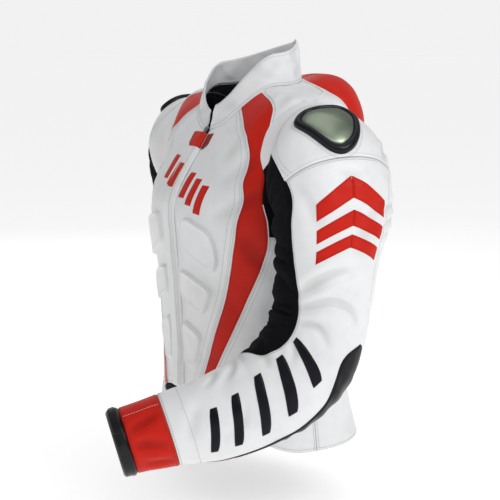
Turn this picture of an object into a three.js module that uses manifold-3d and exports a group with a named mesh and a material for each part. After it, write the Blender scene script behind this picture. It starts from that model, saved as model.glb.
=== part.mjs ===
// Leather riding jacket on a standing form: torso shell, collar, hump, two sleeves that turn at the
// shoulders and bend at the elbows, a front zip and two cuff zips.
// Millimetres. The wearer faces -Y, the wearer's left is +X and +Z is up. The origin is the centre of
// the neck base. Every leather panel is a closed slab cut from one of two lofted surfaces: torso(u, v)
// and sleeve(angle, t).
import * as THREE from 'three';
import Module from 'manifold-3d';

const LEATHER = 2.8;          // panel thickness
const SEAM = 0.3;             // half of the gap left between panels, in degrees round the torso
const ARMHOLE = { y: 8, z: -146, depth: 68, top: 85, bottom: 86 };
const ZIP_HALF_GAP = 0.7;     // half of the slot between the two rows of teeth
const ZIP_TEETH = 2.6;        // width of one row of teeth
const ZIP_TAPE = 8.4;         // outer edge of the tape, from the middle of the front
const PANEL_EDGE = 9;         // inner edge of the front panels, from the middle of the front
const FLAP = { left: 16, right: 14, under: 6.2, over: 8.2, top: 0.955 };
const SEAM_SIDE = 94;         // angle of the seam between the side panel and the back
const CHEST_LINE = 0.64;      // level of the armpit on the torso
const BACK_LINE = 0.6;        // level where the back's stretch band starts
const MAIN_PIN = 3.7;         // height of the pull's hinge pin above the zip's middle plane
const CUFF_PIN = 2.9;
const COLLAR_HEIGHT = 45;
const COLLAR_SLOPE = 9;       // how much taller the collar is behind, and lower in front

const WHITE = { color: 0xe6e8e9, roughness: 0.42, metalness: 0 };
const RED = { color: 0xb32a16, roughness: 0.42, metalness: 0 };
const BLACK = { color: 0x0b0c0f, roughness: 0.5, metalness: 0 };
const METAL = { color: 0x7d9079, roughness: 0.3, metalness: 0.9 };
const TEETH = { color: 0x3a3c3f, roughness: 0.4, metalness: 0.8 };

// Level v, half width, front y and z, side y and z, back y and z, and the roundness of the ring.
const TORSO = [
  [0.00, 170, -117, -488, 8, -562, 150, -558, 2.3],
  [0.12, 167, -117, -430, 4, -485, 128, -482, 2.3],
  [0.30, 168, -121, -352, 0, -395, 116, -392, 2.3],
  [0.48, 175, -127, -277, -2, -310, 120, -298, 2.35],
  [0.64, 181, -130, -210, -3, -232, 131, -205, 2.4],
  [0.78, 180, -106, -162, -2, -150, 137, -125, 2.4],
  [0.91, 167, -82, -124, 0, -62, 118, -66, 2.3],
  [1.00, 92, -70, -105, 0, -42, 70, -32, 2.1],
];

// Station t, centre x, y and z, turn from outward to down, bend forward, turn inward, half height
// and half depth. Both arms are written as a left arm; the right one is mirrored.
const LEFT_ARM = [
  [0.0, 178, 8, -146, 0, 0, 0, 80, 65],
  [0.5, 214, 3, -153, 18, 0, 0, 83, 86],
  [1.0, 239, 3, -180, 45, 0, 0, 72, 87],
  [1.6, 250, -1, -222, 70, 0, 0, 64, 84],
  [2.4, 254, -11, -276, 77, 0, 0, 62, 73],
  [3.2, 255, -20, -328, 80, 5, 2, 60, 67],
  [3.8, 256, -30, -370, 80, 24, 6, 60, 67],
  [4.3, 252, -52, -411, 80, 48, 12, 61, 67],
  [4.8, 240, -90, -445, 80, 65, 18, 60, 65],
  [5.6, 218, -152, -478, 80, 71, 20, 56, 59],
  [6.4, 196, -213, -494, 80, 73, 20, 49, 52],
  [7.0, 178, -262, -507, 80, 74, 20, 44, 46],
  [7.4, 168, -290, -514, 80, 74, 20, 41, 43],
];
const RIGHT_ARM = [
  [0.0, 178, 8, -146, 0, 0, 0, 80, 65],
  [0.5, 213, 13, -153, 18, 0, 0, 83, 81],
  [1.0, 238, 24, -180, 45, -2, 0, 72, 81],
  [1.6, 248, 34, -221, 70, -4, 0, 64, 78],
  [2.4, 251, 41, -276, 80, -6, 0, 60, 72],
  [3.2, 252, 45, -329, 86, -4, 0, 60, 67],
  [3.8, 251, 47, -370, 90, -1, 0, 60, 65],
  [4.3, 249, 47, -405, 93, 5, 0, 60, 63],
  [4.8, 246, 42, -438, 95, 12, 0, 59, 61],
  [5.6, 239, 28, -503, 96, 15, 0, 55, 56],
  [6.4, 231, 9, -568, 96, 16, 0, 49, 51],
  [7.0, 226, -5, -614, 96, 16, 0, 43, 46],
  [7.4, 223, -14, -645, 96, 16, 0, 41, 44],
];

// The red stripe's two edges: level, inner angle, outer angle.
const STRIPE = [
  [0.00, 14, 22], [0.10, 22, 29], [0.22, 30, 40], [0.38, 40, 54], [0.56, 47, 68], [0.64, 49, 68],
  [0.70, 50, 63], [0.75, 47, 62], [0.82, 47, 63], [0.87, 42, 60], [0.92, 38, 64], [1.00, 46, 70],
];
// The stretch panel's outer edge on the sleeve: station, angle.
const STRETCH = [[0.9, 72], [1.3, 64], [1.7, 68], [2.3, 68], [2.9, 58], [3.5, 50], [4.0, 44]];
const STRETCH_INNER = 150;
// Chest pads, each by the angle and level of its four corners: low inner, low outer, top outer, top inner.
const PADS = [
  [[6.5, 0.485], [34, 0.43], [33, 0.575], [10, 0.603]],
  [[5, 0.31], [24, 0.27], [32, 0.375], [5.5, 0.42]],
  [[5, 0.075], [14, 0.075], [22, 0.205], [5, 0.24]],
];

const radians = THREE.MathUtils.degToRad;
const mix = THREE.MathUtils.lerp;
const clamp = THREE.MathUtils.clamp;
const range = (a, b, n) => Array.from({ length: n + 1 }, (_, i) => mix(a, b, i / n));

/** Smooth curve through rows [position, values...]. */
function spline(rows, x) {
  const last = rows.length - 1;
  let i = 0;
  while (i < last - 1 && x > rows[i + 1][0]) i += 1;
  const slope = (j, k) => {
    const a = rows[Math.max(j - 1, 0)];
    const b = rows[Math.min(j + 1, last)];
    return (b[k] - a[k]) / (b[0] - a[0]);
  };
  const h = rows[i + 1][0] - rows[i][0];
  const s = (x - rows[i][0]) / h;
  const s2 = s * s;
  const s3 = s2 * s;
  return rows[i].slice(1).map((value, n) => {
    const k = n + 1;
    return (2 * s3 - 3 * s2 + 1) * value + (s3 - 2 * s2 + s) * h * slope(i, k)
      + (3 * s2 - 2 * s3) * rows[i + 1][k] + (s3 - s2) * h * slope(i + 1, k);
  });
}

const signedPower = (value, power) => Math.sign(value) * Math.abs(value) ** power;

/** Point of the torso's surface at angle u (0 front, 90 left, 180 back) and level v. */
function torso(u, v) {
  const [w, yf, zf, ys, zs, yb, zb, n] = spline(TORSO, v);
  const s = Math.sin(radians(u));
  const c = Math.cos(radians(u));
  const depth = Math.abs(c) ** (2 / n);
  const y = c >= 0 ? mix(ys, yf, depth) : mix(ys, yb, depth);
  const z = c >= 0 ? mix(zs, zf, c * c) : mix(zs, zb, c * c);
  return new THREE.Vector3(w * signedPower(s, 2 / n), y, z);
}

/** Angle u at which the torso's ring at level v is x from the middle, on the front. */
function angleAt(x, v) {
  const [w, , , , , , , n] = spline(TORSO, v);
  return THREE.MathUtils.radToDeg(Math.asin(signedPower(x / w, n / 2)));
}

/** Moves a surface point outward along the surface's own normal. */
function outward(surface, a, b, da, db, off) {
  const p = surface(a, b);
  if (off === 0) return p;
  const alongA = surface(a + da, b).sub(surface(a - da, b));
  const alongB = surface(a, b + db).sub(surface(a, b - db));
  return p.addScaledVector(alongA.cross(alongB).normalize(), off);
}

const torsoOut = (u, v, off) => outward(torso, u, v, 0.5, 0.004, off);

/** The frame of one sleeve ring: centre, the two half-size directions and the half sizes. */
function armRing(rows, t) {
  const frame = (row) => {
    const [, x, y, z, turn, bend, inward, a, b] = row;
    const down = radians(turn);
    const fwd = radians(bend);
    const along = new THREE.Vector3(Math.cos(down), 0, -Math.sin(down));
    const side = new THREE.Vector3(Math.sin(down), 0, Math.cos(down));
    const front = new THREE.Vector3(0, -Math.cos(fwd), 0).addScaledVector(along, -Math.sin(fwd));
    const yaw = new THREE.Matrix4().makeRotationZ(-radians(inward));
    side.applyMatrix4(yaw);
    front.applyMatrix4(yaw);
    return [row[0], x, y, z, ...side.toArray(), ...front.toArray(), a, b];
  };
  const p = spline(rows.map(frame), t);
  const side = new THREE.Vector3(p[3], p[4], p[5]).normalize();
  const front = new THREE.Vector3(p[6], p[7], p[8]);
  front.addScaledVector(side, -front.dot(side)).normalize();
  return { centre: new THREE.Vector3(p[0], p[1], p[2]), side, front, a: p[9], b: p[10] };
}

/** Builds the sleeve's surface: angle 0 outer, 90 front, 180 inner, 270 back. */
function sleeveSurface(rows) {
  const round = 2 / 2.15;
  return (angle, t) => {
    const { centre, side, front, a, b } = armRing(rows, t);
    return centre
      .addScaledVector(side, a * signedPower(Math.cos(radians(angle)), round))
      .addScaledVector(front, b * signedPower(Math.sin(radians(angle)), round));
  };
}

const group = new THREE.Group();
group.name = 'riding_jacket';

/** Adds a mesh from points and triangles, turned so that its volume is positive. */
function add(name, points, triangles, look) {
  let volume = 0;
  for (const [a, b, c] of triangles) {
    volume += points[a].dot(points[b].clone().cross(points[c]));
  }
  const faces = volume > 0 ? triangles : triangles.map(([a, b, c]) => [a, c, b]);
  const geometry = new THREE.BufferGeometry();
  geometry.setAttribute('position', new THREE.Float32BufferAttribute(points.flatMap((p) => p.toArray()), 3));
  geometry.setIndex(faces.flat());
  geometry.computeVertexNormals();
  const mesh = new THREE.Mesh(geometry, new THREE.MeshStandardMaterial(look));
  mesh.name = name;
  group.add(mesh);
}

/**
 * Adds a closed slab: at(s, r, off) gives its points, s runs across and r along, and lo and hi are the
 * offsets of its two faces, as numbers or as functions of (s, r). A closed slab joins its two sides.
 */
function slab(name, at, across, along, lo, hi, look, closed = false) {
  const points = [];
  const value = (off, s, r) => (typeof off === 'function' ? off(s, r) : off);
  for (const off of [lo, hi]) {
    for (const r of along) {
      for (const s of across) {
        points.push(at(s, r, value(off, s, r)));
      }
    }
  }
  const n = across.length;
  const m = along.length;
  const id = (i, j, k) => k * n * m + j * n + (closed ? i % n : i);
  const triangles = [];
  const quad = (a, b, c, d) => triangles.push([a, b, c], [a, c, d]);
  const columns = closed ? n : n - 1;
  for (let i = 0; i < columns; i += 1) {
    for (let j = 0; j < m - 1; j += 1) {
      quad(id(i, j, 1), id(i + 1, j, 1), id(i + 1, j + 1, 1), id(i, j + 1, 1));
      quad(id(i, j, 0), id(i, j + 1, 0), id(i + 1, j + 1, 0), id(i + 1, j, 0));
    }
    quad(id(i, 0, 0), id(i + 1, 0, 0), id(i + 1, 0, 1), id(i, 0, 1));
    quad(id(i, m - 1, 1), id(i + 1, m - 1, 1), id(i + 1, m - 1, 0), id(i, m - 1, 0));
  }
  for (let j = 0; j < m - 1 && !closed; j += 1) {
    quad(id(0, j, 1), id(0, j + 1, 1), id(0, j + 1, 0), id(0, j, 0));
    quad(id(n - 1, j, 0), id(n - 1, j + 1, 0), id(n - 1, j + 1, 1), id(n - 1, j, 1));
  }
  add(name, points, triangles, look);
}

const flip = (p) => p.setX(-p.x);
const SIDES = [['left', LEFT_ARM, (p) => p], ['right', RIGHT_ARM, flip]];

// ---------------------------------------------------------------- torso

/** Solves for the torso's angle and level at a given y and z on the wearer's left. */
function torsoAtYZ(y, z) {
  let u = 90;
  let v = clamp(0.64 + ((z + 232) / 170) * 0.27, 0.55, 0.96);
  for (let i = 0; i < 20; i += 1) {
    const p = torso(u, v);
    const pu = torso(u + 0.1, v).sub(p).multiplyScalar(10);
    const pv = torso(u, v + 0.001).sub(p).multiplyScalar(1000);
    const det = pu.y * pv.z - pu.z * pv.y;
    u += clamp((pv.z * (y - p.y) - pv.y * (z - p.z)) / det, -12, 12);
    v += clamp((pu.y * (z - p.z) - pu.z * (y - p.y)) / det, -0.05, 0.05);
  }
  return [u, v];
}

/** Point of the armhole's outline at an angle round the arm; grow widens it. */
function armholeYZ(angle, grow) {
  const c = Math.cos(radians(angle));
  const s = Math.sin(radians(angle));
  const tall = c > 0 ? ARMHOLE.top : ARMHOLE.bottom;
  return [ARMHOLE.y - (ARMHOLE.depth + grow) * s, ARMHOLE.z + (tall + grow) * c];
}

/** The armhole's edge at level v, on the front (towards = -1) or the back (towards = 1). */
function armholeEdge(v, towards) {
  const inside = (u) => {
    const p = torso(u, v);
    const tall = p.z > ARMHOLE.z ? ARMHOLE.top : ARMHOLE.bottom;
    return ((p.y - ARMHOLE.y) / ARMHOLE.depth) ** 2 + ((p.z - ARMHOLE.z) / tall) ** 2 < 1;
  };
  if (!inside(90)) return 90;
  let near = 90;
  let far = 90 + towards * 60;
  for (let i = 0; i < 24; i += 1) {
    const middle = (near + far) / 2;
    if (inside(middle)) near = middle;
    else far = middle;
  }
  return near;
}

const TOP_LEVEL = torsoAtYZ(ARMHOLE.y, ARMHOLE.z + ARMHOLE.top)[1];
const ARMPIT_LEVEL = torsoAtYZ(ARMHOLE.y, ARMHOLE.z - ARMHOLE.bottom)[1];

/** The edge that the shoulder panel and the back yoke share above the armhole. */
function shoulderSeam(v) {
  return 90 + 62 * clamp((v - TOP_LEVEL) / (1 - TOP_LEVEL), 0, 1) ** 0.8;
}

const stripeInner = (v) => spline(STRIPE, v)[0];
const stripeOuter = (v) => spline(STRIPE, v)[1];
const frontOfArmhole = (v) => (v > ARMPIT_LEVEL && v < TOP_LEVEL ? armholeEdge(v, -1) : 90);
const stripeEdge = (v) => Math.min(stripeOuter(v), frontOfArmhole(v));
const LOW = range(0, CHEST_LINE - 0.003, 8);
const HIGH = range(CHEST_LINE + 0.003, 1, 9);
const ALL = [...LOW, ...HIGH];
const UNDERARM = [...LOW, 0.642, 0.647, 0.656, 0.668, 0.684, 0.7];
const OVER_ARM = HIGH.filter((v) => v > 0.875);

/** A torso panel between two edges that depend on the level. */
function torsoPanel(name, from, to, levels, columns, look, mirror = (p) => p, lo = -LEATHER, hi = 0) {
  const at = (s, v, off) => mirror(torsoOut(mix(from(v), to(v), s), v, off));
  slab(name, at, range(0, 1, columns), levels, lo, hi, look);
}

for (const [side, , mirror] of SIDES) {
  torsoPanel(`front_panel_${side}`, (v) => angleAt(PANEL_EDGE, v), (v) => stripeInner(v) - SEAM,
    ALL, 5, WHITE, mirror);
  torsoPanel(`red_stripe_${side}`, (v) => stripeInner(v) + SEAM, (v) => stripeEdge(v) - SEAM,
    ALL, 2, RED, mirror);
  torsoPanel(`side_panel_${side}`, (v) => stripeEdge(v) + SEAM,
    (v) => (v < ARMPIT_LEVEL ? SEAM_SIDE : frontOfArmhole(v)) - SEAM, UNDERARM, 5, WHITE, mirror);
  torsoPanel(`shoulder_panel_${side}`, (v) => stripeOuter(v) + SEAM,
    (v) => (v < TOP_LEVEL ? armholeEdge(v, -1) : shoulderSeam(v)) - SEAM, OVER_ARM, 4, WHITE, mirror);
}

const backPanel = (name, from, levels, columns, hi) => {
  torsoPanel(name, from, (v) => 360 - from(v), levels, columns, WHITE, (p) => p, -LEATHER, hi);
};
backPanel('back_panel', () => SEAM_SIDE + SEAM, range(0, BACK_LINE - 0.003, 7), 12, 0);
backPanel('back_stretch', () => SEAM_SIDE + SEAM, range(BACK_LINE + 0.003, CHEST_LINE - 0.003, 2), 12, 0);
backPanel('back_yoke', (v) => (v < TOP_LEVEL ? armholeEdge(v, 1) : shoulderSeam(v)) + SEAM, HIGH, 14, 0);

// Aero hump behind the neck.
const humpHeight = (s, r) => {
  const across = Math.sin(Math.PI * clamp(s, 0, 1)) ** 0.7;
  const rise = clamp((r - 0.58) / 0.28, 0, 1);
  const fall = clamp((0.992 - r) / 0.1, 0, 1);
  return 4.4 + 44 * across * Math.sin(rise * Math.PI / 2) ** 2 * Math.sin(fall * Math.PI / 2);
};
slab('aero_hump', (s, v, off) => torsoOut(mix(157, 203, s), v, off), range(0, 1, 10), range(0.58, 0.985, 10),
  2.4, humpHeight, RED);

// Collar: it stands on the neck ring, leans in a little and is open in front.
const collarGap = (h) => 4 + 6 * h;
function collar(u, h) {
  const base = torso(u, 1);
  const height = COLLAR_HEIGHT - COLLAR_SLOPE * Math.cos(radians(u));
  return new THREE.Vector3(base.x * (1 - 0.08 * h), base.y * (1 - 0.11 * h), base.z + 1.2 + height * h);
}
slab('collar', (s, h, off) => outward(collar, mix(collarGap(h), 360 - collarGap(h), s), h, 0.5, 0.01, off),
  range(0, 1, 32), range(0, 1, 3), -LEATHER, 0, WHITE);

// Chest pads on the front panels.
for (const [side, , mirror] of SIDES) {
  PADS.forEach((corners, i) => {
    const [lowIn, lowOut, topOut, topIn] = corners;
    const at = (s, r, off) => {
      const u = mix(mix(lowIn[0], lowOut[0], s), mix(topIn[0], topOut[0], s), r);
      const v = mix(mix(lowIn[1], lowOut[1], s), mix(topIn[1], topOut[1], s), r);
      return mirror(torsoOut(u, v, off));
    };
    const dome = (s, r) => 2 + 4 * Math.sin(Math.PI * s) ** 0.5 * Math.sin(Math.PI * r) ** 0.5;
    slab(`chest_pad_${side}_${i + 1}`, at, range(0, 1, 5), range(0, 1, 5), 0.5, dome, WHITE);
  });
}

// ---------------------------------------------------------------- front zip and its flap

const frontAt = (x, v, off) => torsoOut(angleAt(x, v), v, off);
const ZIP_LEVELS = range(0.004, 0.997, 17);
const ZIP_DEPTH = -LEATHER / 2;

/** One half of the zip: a row of teeth on the edge of a thin tape, as one stepped section. */
function zipHalf(name, mirror) {
  const section = [
    [ZIP_HALF_GAP, -1.2], [ZIP_HALF_GAP + ZIP_TEETH, -1.2], [ZIP_HALF_GAP + ZIP_TEETH, -0.4], [ZIP_TAPE, -0.4],
    [ZIP_TAPE, 0.4], [ZIP_HALF_GAP + ZIP_TEETH, 0.4], [ZIP_HALF_GAP + ZIP_TEETH, 1.2], [ZIP_HALF_GAP, 1.2],
  ];
  const n = section.length;
  const points = [];
  for (const v of ZIP_LEVELS) {
    for (const [x, off] of section) {
      points.push(mirror(frontAt(x, v, ZIP_DEPTH + off)));
    }
  }
  const triangles = [];
  for (let j = 0; j < ZIP_LEVELS.length - 1; j += 1) {
    for (let i = 0; i < n; i += 1) {
      const k = (i + 1) % n;
      triangles.push([j * n + i, j * n + k, (j + 1) * n + k], [j * n + i, (j + 1) * n + k, (j + 1) * n + i]);
    }
  }
  const outline = section.map(([x, off]) => new THREE.Vector2(x, off));
  const cap = THREE.ShapeUtils.triangulateShape(outline, []);
  const end = (ZIP_LEVELS.length - 1) * n;
  for (const [a, b, c] of cap) {
    triangles.push([a, c, b], [end + a, end + b, end + c]);
  }
  add(name, points, triangles, TEETH);
}
for (const [side, , mirror] of SIDES) {
  zipHalf(`zip_half_${side}`, mirror);
}

const flapX = (s) => mix(-FLAP.right, FLAP.left, s);
const flapRise = (s) => THREE.MathUtils.smoothstep(s, 0, 0.16) * (FLAP.under - 1.3) + 1.3;
const flapShape = (s, r, off) => frontAt(flapX(s), r, off);
slab('zip_flap', flapShape, range(0, 1, 6), range(0.01, FLAP.top, 16), (s) => flapRise(s),
  (s) => flapRise(s) + FLAP.over - FLAP.under, WHITE);

// Throat patch: one section on each front panel and one on the flap.
const patch = (name, from, to, lo, mirror) => {
  slab(name, (s, v, off) => mirror(frontAt(mix(from, to, s), v, off)), range(0, 1, 3), range(0.872, FLAP.top, 4),
    lo, lo + 1.4, RED);
};
patch('throat_patch_left', FLAP.left + 0.8, 31, 0.4, (p) => p);
patch('throat_patch_right', FLAP.right + 0.8, 31, 0.4, flip);
patch('throat_patch_middle', -FLAP.right * 0.6, FLAP.left - 0.6, FLAP.over + 0.4, (p) => p);

// ---------------------------------------------------------------- small solids built in place

const wasm = await Module();
wasm.setup();
const { Manifold } = wasm;

/** Adds a manifold solid, placed by a matrix. */
function addSolid(name, solid, matrix, look) {
  const mesh = solid.getMesh();
  const points = [];
  for (let i = 0; i < mesh.numVert; i += 1) {
    const [x, y, z] = mesh.vertProperties.slice(i * mesh.numProp, i * mesh.numProp + 3);
    points.push(new THREE.Vector3(x, y, z).applyMatrix4(matrix));
  }
  const triangles = [];
  for (let i = 0; i < mesh.numTri; i += 1) {
    triangles.push(Array.from(mesh.triVerts.slice(i * 3, i * 3 + 3)));
  }
  add(name, points, triangles, look);
}

const box = (x0, x1, y0, y1, z0, z1) => Manifold.cube([x1 - x0, y1 - y0, z1 - z0]).translate([x0, y0, z0]);

/** The bridge over a slider's pull, from the slider's face up over the hinge pin at height pin. */
const bridge = (base, pin) => [
  box(-0.7, 0.7, 1.5, 2.1, base, pin + 1.7), box(-0.7, 0.7, 4.7, 5.3, base, pin + 1.7),
  box(-0.7, 0.7, 1.5, 5.3, pin + 1.1, pin + 1.7),
];

/** A zip slider: two plates joined by a web that runs in the slot between the teeth, and a bridge. */
function sliderSolid() {
  return Manifold.union([
    box(-4.5, 4.5, -6, 6, 1.9, 2.9),
    box(-4.5, 4.5, -6, 6, -2.9, -1.9),
    box(-0.3, 0.3, -6, 6, -2.2, 2.2),
    ...bridge(2.8, MAIN_PIN),
  ]);
}

/** A pull tab whose top strip is the pin under the bridge. */
function pullSolid(length, pin) {
  const tab = box(-2.6, 2.6, -length, 3.7, pin - 0.4, pin + 0.4);
  return tab.subtract(box(-1.4, 1.4, -1.2, 3.1, pin - 1, pin + 1));
}

/** Matrix from a slider's own axes (x across, y along the zip, z outward) to the part. */
function placement(origin, along, out) {
  const x = along.clone().cross(out).normalize();
  const z = x.clone().cross(along).normalize();
  return new THREE.Matrix4().makeBasis(x, along.clone().normalize(), z).setPosition(origin);
}

const zipTop = frontAt(0, 0.985, ZIP_DEPTH);
const zipLow = frontAt(0, 0.74, ZIP_DEPTH);
const zipAlong = zipTop.clone().sub(zipLow).normalize();
const zipOut = new THREE.Vector3(0, -zipAlong.z, zipAlong.y);
const zipPlace = placement(zipTop, zipAlong, zipOut);
addSolid('zip_slider', sliderSolid(), zipPlace, METAL);
addSolid('zip_pull', pullSolid(9, MAIN_PIN), zipPlace, METAL);

// ---------------------------------------------------------------- sleeves

const AROUND = range(0, 360, 20).slice(0, -1);

for (const [side, rows, mirror] of SIDES) {
  const surface = sleeveSurface(rows);
  const at = (angle, t, off) => mirror(outward(surface, angle, t, 0.5, 0.01, off));
  const tube = (name, from, to, count, look, lo = -LEATHER, hi = 0) => {
    slab(name, at, AROUND, range(from, to, count), lo, hi, look, true);
  };

  // The band that joins the torso's armhole to the sleeve.
  const bandAt = (angle, r, off) => {
    const [u, v] = torsoAtYZ(...armholeYZ(angle, -3));
    const inner = torsoOut(u, v, off);
    const outer = outward(surface, angle, 0.05, 0.5, 0.01, off);
    return mirror(inner.lerp(outer, r));
  };
  slab(`armhole_band_${side}`, bandAt, AROUND, range(0, 1, 2), -LEATHER, 0, WHITE, true);

  tube(`sleeve_head_${side}`, 0.12, 1.0, 3, WHITE);

  // Upper sleeve: leather from the inner seam round the back to the stretch panel.
  const stretchEdge = (t) => spline(STRETCH, t)[0];
  const upper = range(1.03, 3.28, 6);
  const strip = (name, from, to, columns, look) => {
    slab(name, (s, t, off) => at(mix(from(t), to(t), s), t, off), range(0, 1, columns), upper, -LEATHER, 0, look);
  };
  strip(`upper_sleeve_${side}`, () => STRETCH_INNER + 0.5, (t) => 360 + stretchEdge(t) - 0.5, 15, WHITE);
  strip(`stretch_panel_${side}`, (t) => stretchEdge(t) + 0.5, () => STRETCH_INNER - 0.5, 5, BLACK);

  tube(`elbow_gusset_${side}`, 3.33, 4.7, 4, BLACK);
  tube(`forearm_sleeve_${side}`, 4.75, 6.5, 4, WHITE);
  tube(`cuff_panel_${side}`, 6.53, 7.14, 2, RED);
  tube(`cuff_band_${side}`, 7.17, 7.4, 1, BLACK, -LEATHER, 1.5);

  // Elbow guard on the back of the forearm.
  slab(`elbow_guard_${side}`, at, range(258, 318, 5), range(4.45, 5.3, 4), 1.4,
    (a, t) => 3.2 + 3 * Math.sin(Math.PI * (a - 258) / 60) * Math.sin(Math.PI * (t - 4.45) / 0.85), BLACK);

  // Wrist tab on the cuff band.
  slab(`wrist_tab_${side}`, at, range(20, 84, 5), range(7.19, 7.36, 1), 2, 4, BLACK);

  // Shoulder cup: a metal plate held in a rubber bezel, both following the sleeve's head.
  const cup = (grow, shrink, name, lo, hi, look) => {
    const centre = { angle: 6, t: 0.6 };
    const outline = (a) => 1 + 0.16 * Math.cos(radians(3 * a + 20)) + 0.06 * Math.cos(radians(2 * a));
    const shape = (a, r, off) => {
      const size = outline(a) * mix(shrink, grow, r);
      return at(centre.angle + 27 * size * Math.cos(radians(a)), centre.t + 0.27 * size * Math.sin(radians(a)), off);
    };
    slab(name, shape, AROUND, [0, 1], lo, hi, look, true);
  };
  cup(1.0, 0.72, `cup_bezel_${side}`, 0.6, 6, BLACK);
  const plate = [];
  const outline = (a) => 1 + 0.16 * Math.cos(radians(3 * a + 20)) + 0.06 * Math.cos(radians(2 * a));
  for (const off of [2.4, 5]) {
    plate.push(at(6, 0.6, off + 0.8));
    for (const a of AROUND) {
      const size = outline(a) * 0.68;
      plate.push(at(6 + 27 * size * Math.cos(radians(a)), 0.6 + 0.27 * size * Math.sin(radians(a)), off));
    }
  }
  const count = AROUND.length;
  const fan = [];
  for (let i = 0; i < count; i += 1) {
    const a = 1 + i;
    const b = 1 + (i + 1) % count;
    const top = count + 1;
    fan.push([0, b, a], [top, top + a, top + b], [a, b, top + b], [a, top + b, top + a]);
  }
  add(`shoulder_cup_${side}`, plate, fan, METAL);

  // Cuff zip on the back of the forearm: teeth on a tape, a slider and its pull.
  const ZIP = { angle: 214, from: 5.75, to: 7.05, tape: 10, teeth: 1.3 };
  const profile = [-ZIP.tape, -ZIP.teeth - 0.2, -ZIP.teeth, ZIP.teeth, ZIP.teeth + 0.2, ZIP.tape];
  const ridge = (s) => (Math.abs(s) <= ZIP.teeth ? 3 : 1.7);
  slab(`cuff_zip_${side}`, (s, t, off) => at(ZIP.angle + s, t, off), profile, range(ZIP.from, ZIP.to, 4), 1,
    ridge, TEETH);
  const lift = 3.7;
  const high = outward(surface, ZIP.angle, ZIP.from, 0.5, 0.01, lift);
  const low = outward(surface, ZIP.angle, ZIP.to, 0.5, 0.01, lift);
  const along = high.clone().sub(low).normalize();
  const skin = outward(surface, ZIP.angle, 6.5, 0.5, 0.01, 1).sub(surface(ZIP.angle, 6.5)).normalize();
  const matrix = placement(low.clone().addScaledVector(along, 14), along, skin);
  if (side === 'right') matrix.premultiply(new THREE.Matrix4().makeScale(-1, 1, 1));
  const runner = Manifold.union([
    box(-3.6, 3.6, -5, 5, 0.9, 1.9), box(2.2, 3.6, -5, 5, -0.5, 1), box(-3.6, -2.2, -5, 5, -0.5, 1),
    ...bridge(1.8, CUFF_PIN),
  ]);
  addSolid(`cuff_slider_${side}`, runner, matrix, METAL);
  addSolid(`cuff_pull_${side}`, pullSolid(16, CUFF_PIN), matrix, METAL);
}

export default group;
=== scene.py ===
"""Leather riding jacket on a standing form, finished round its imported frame.

Every leather panel is a closed slab cut from a skin: the torso's skin has an angle u (0 front, 90 the
wearer's left, 180 back) and a level v (0 hem, 1 neck); a sleeve's skin has an angle (0 outer side,
90 front, 180 inner side, 270 back) and a station t (0 armhole, 7.4 wrist). Shapes are worked out in
millimetres and turned to metres when they go into a mesh.
"""
import math

import bpy
import numpy as np
from bpy.props import FloatProperty, FloatVectorProperty, PointerProperty
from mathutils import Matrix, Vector


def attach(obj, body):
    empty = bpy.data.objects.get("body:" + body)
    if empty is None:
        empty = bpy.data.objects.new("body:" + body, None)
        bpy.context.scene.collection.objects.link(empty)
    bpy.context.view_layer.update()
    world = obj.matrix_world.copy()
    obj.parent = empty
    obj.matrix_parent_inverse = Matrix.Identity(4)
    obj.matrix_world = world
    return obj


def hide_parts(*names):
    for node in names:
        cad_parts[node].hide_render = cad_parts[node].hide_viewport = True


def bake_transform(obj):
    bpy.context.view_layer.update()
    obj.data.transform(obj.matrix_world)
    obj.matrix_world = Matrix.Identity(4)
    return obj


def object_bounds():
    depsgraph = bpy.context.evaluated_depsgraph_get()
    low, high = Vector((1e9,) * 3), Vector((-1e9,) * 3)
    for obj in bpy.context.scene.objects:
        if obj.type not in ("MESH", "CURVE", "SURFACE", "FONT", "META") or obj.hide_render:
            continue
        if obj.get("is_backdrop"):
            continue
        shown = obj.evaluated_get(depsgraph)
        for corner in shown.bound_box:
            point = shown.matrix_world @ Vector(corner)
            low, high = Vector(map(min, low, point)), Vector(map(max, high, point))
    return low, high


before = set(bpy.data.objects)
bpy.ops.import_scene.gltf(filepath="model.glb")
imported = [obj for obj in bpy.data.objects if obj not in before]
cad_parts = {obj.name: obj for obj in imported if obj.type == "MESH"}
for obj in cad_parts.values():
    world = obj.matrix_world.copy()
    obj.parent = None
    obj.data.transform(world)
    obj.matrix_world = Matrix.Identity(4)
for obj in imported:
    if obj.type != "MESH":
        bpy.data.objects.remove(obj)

bl_info = {
    "name": "Riding jacket",
    "version": (1, 0, 0),
    "blender": (4, 5, 0),
    "location": "View3D > Sidebar > Jacket",
    "description": "Builds a leather riding jacket panel by panel round its frame",
    "category": "Add Mesh",
}

MM = 0.001
SIDES = ("left", "right")

# Level v, half width, front y and z, side y and z, back y and z, and the roundness of the ring.
TORSO = [
    [0.00, 170, -117, -488, 8, -562, 150, -558, 2.3],
    [0.12, 167, -117, -430, 4, -485, 128, -482, 2.3],
    [0.30, 168, -121, -352, 0, -395, 116, -392, 2.3],
    [0.48, 175, -127, -277, -2, -310, 120, -298, 2.35],
    [0.64, 181, -130, -210, -3, -232, 131, -205, 2.4],
    [0.78, 180, -106, -162, -2, -150, 137, -125, 2.4],
    [0.91, 167, -82, -124, 0, -62, 118, -66, 2.3],
    [1.00, 92, -70, -105, 0, -42, 70, -32, 2.1],
]
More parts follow.
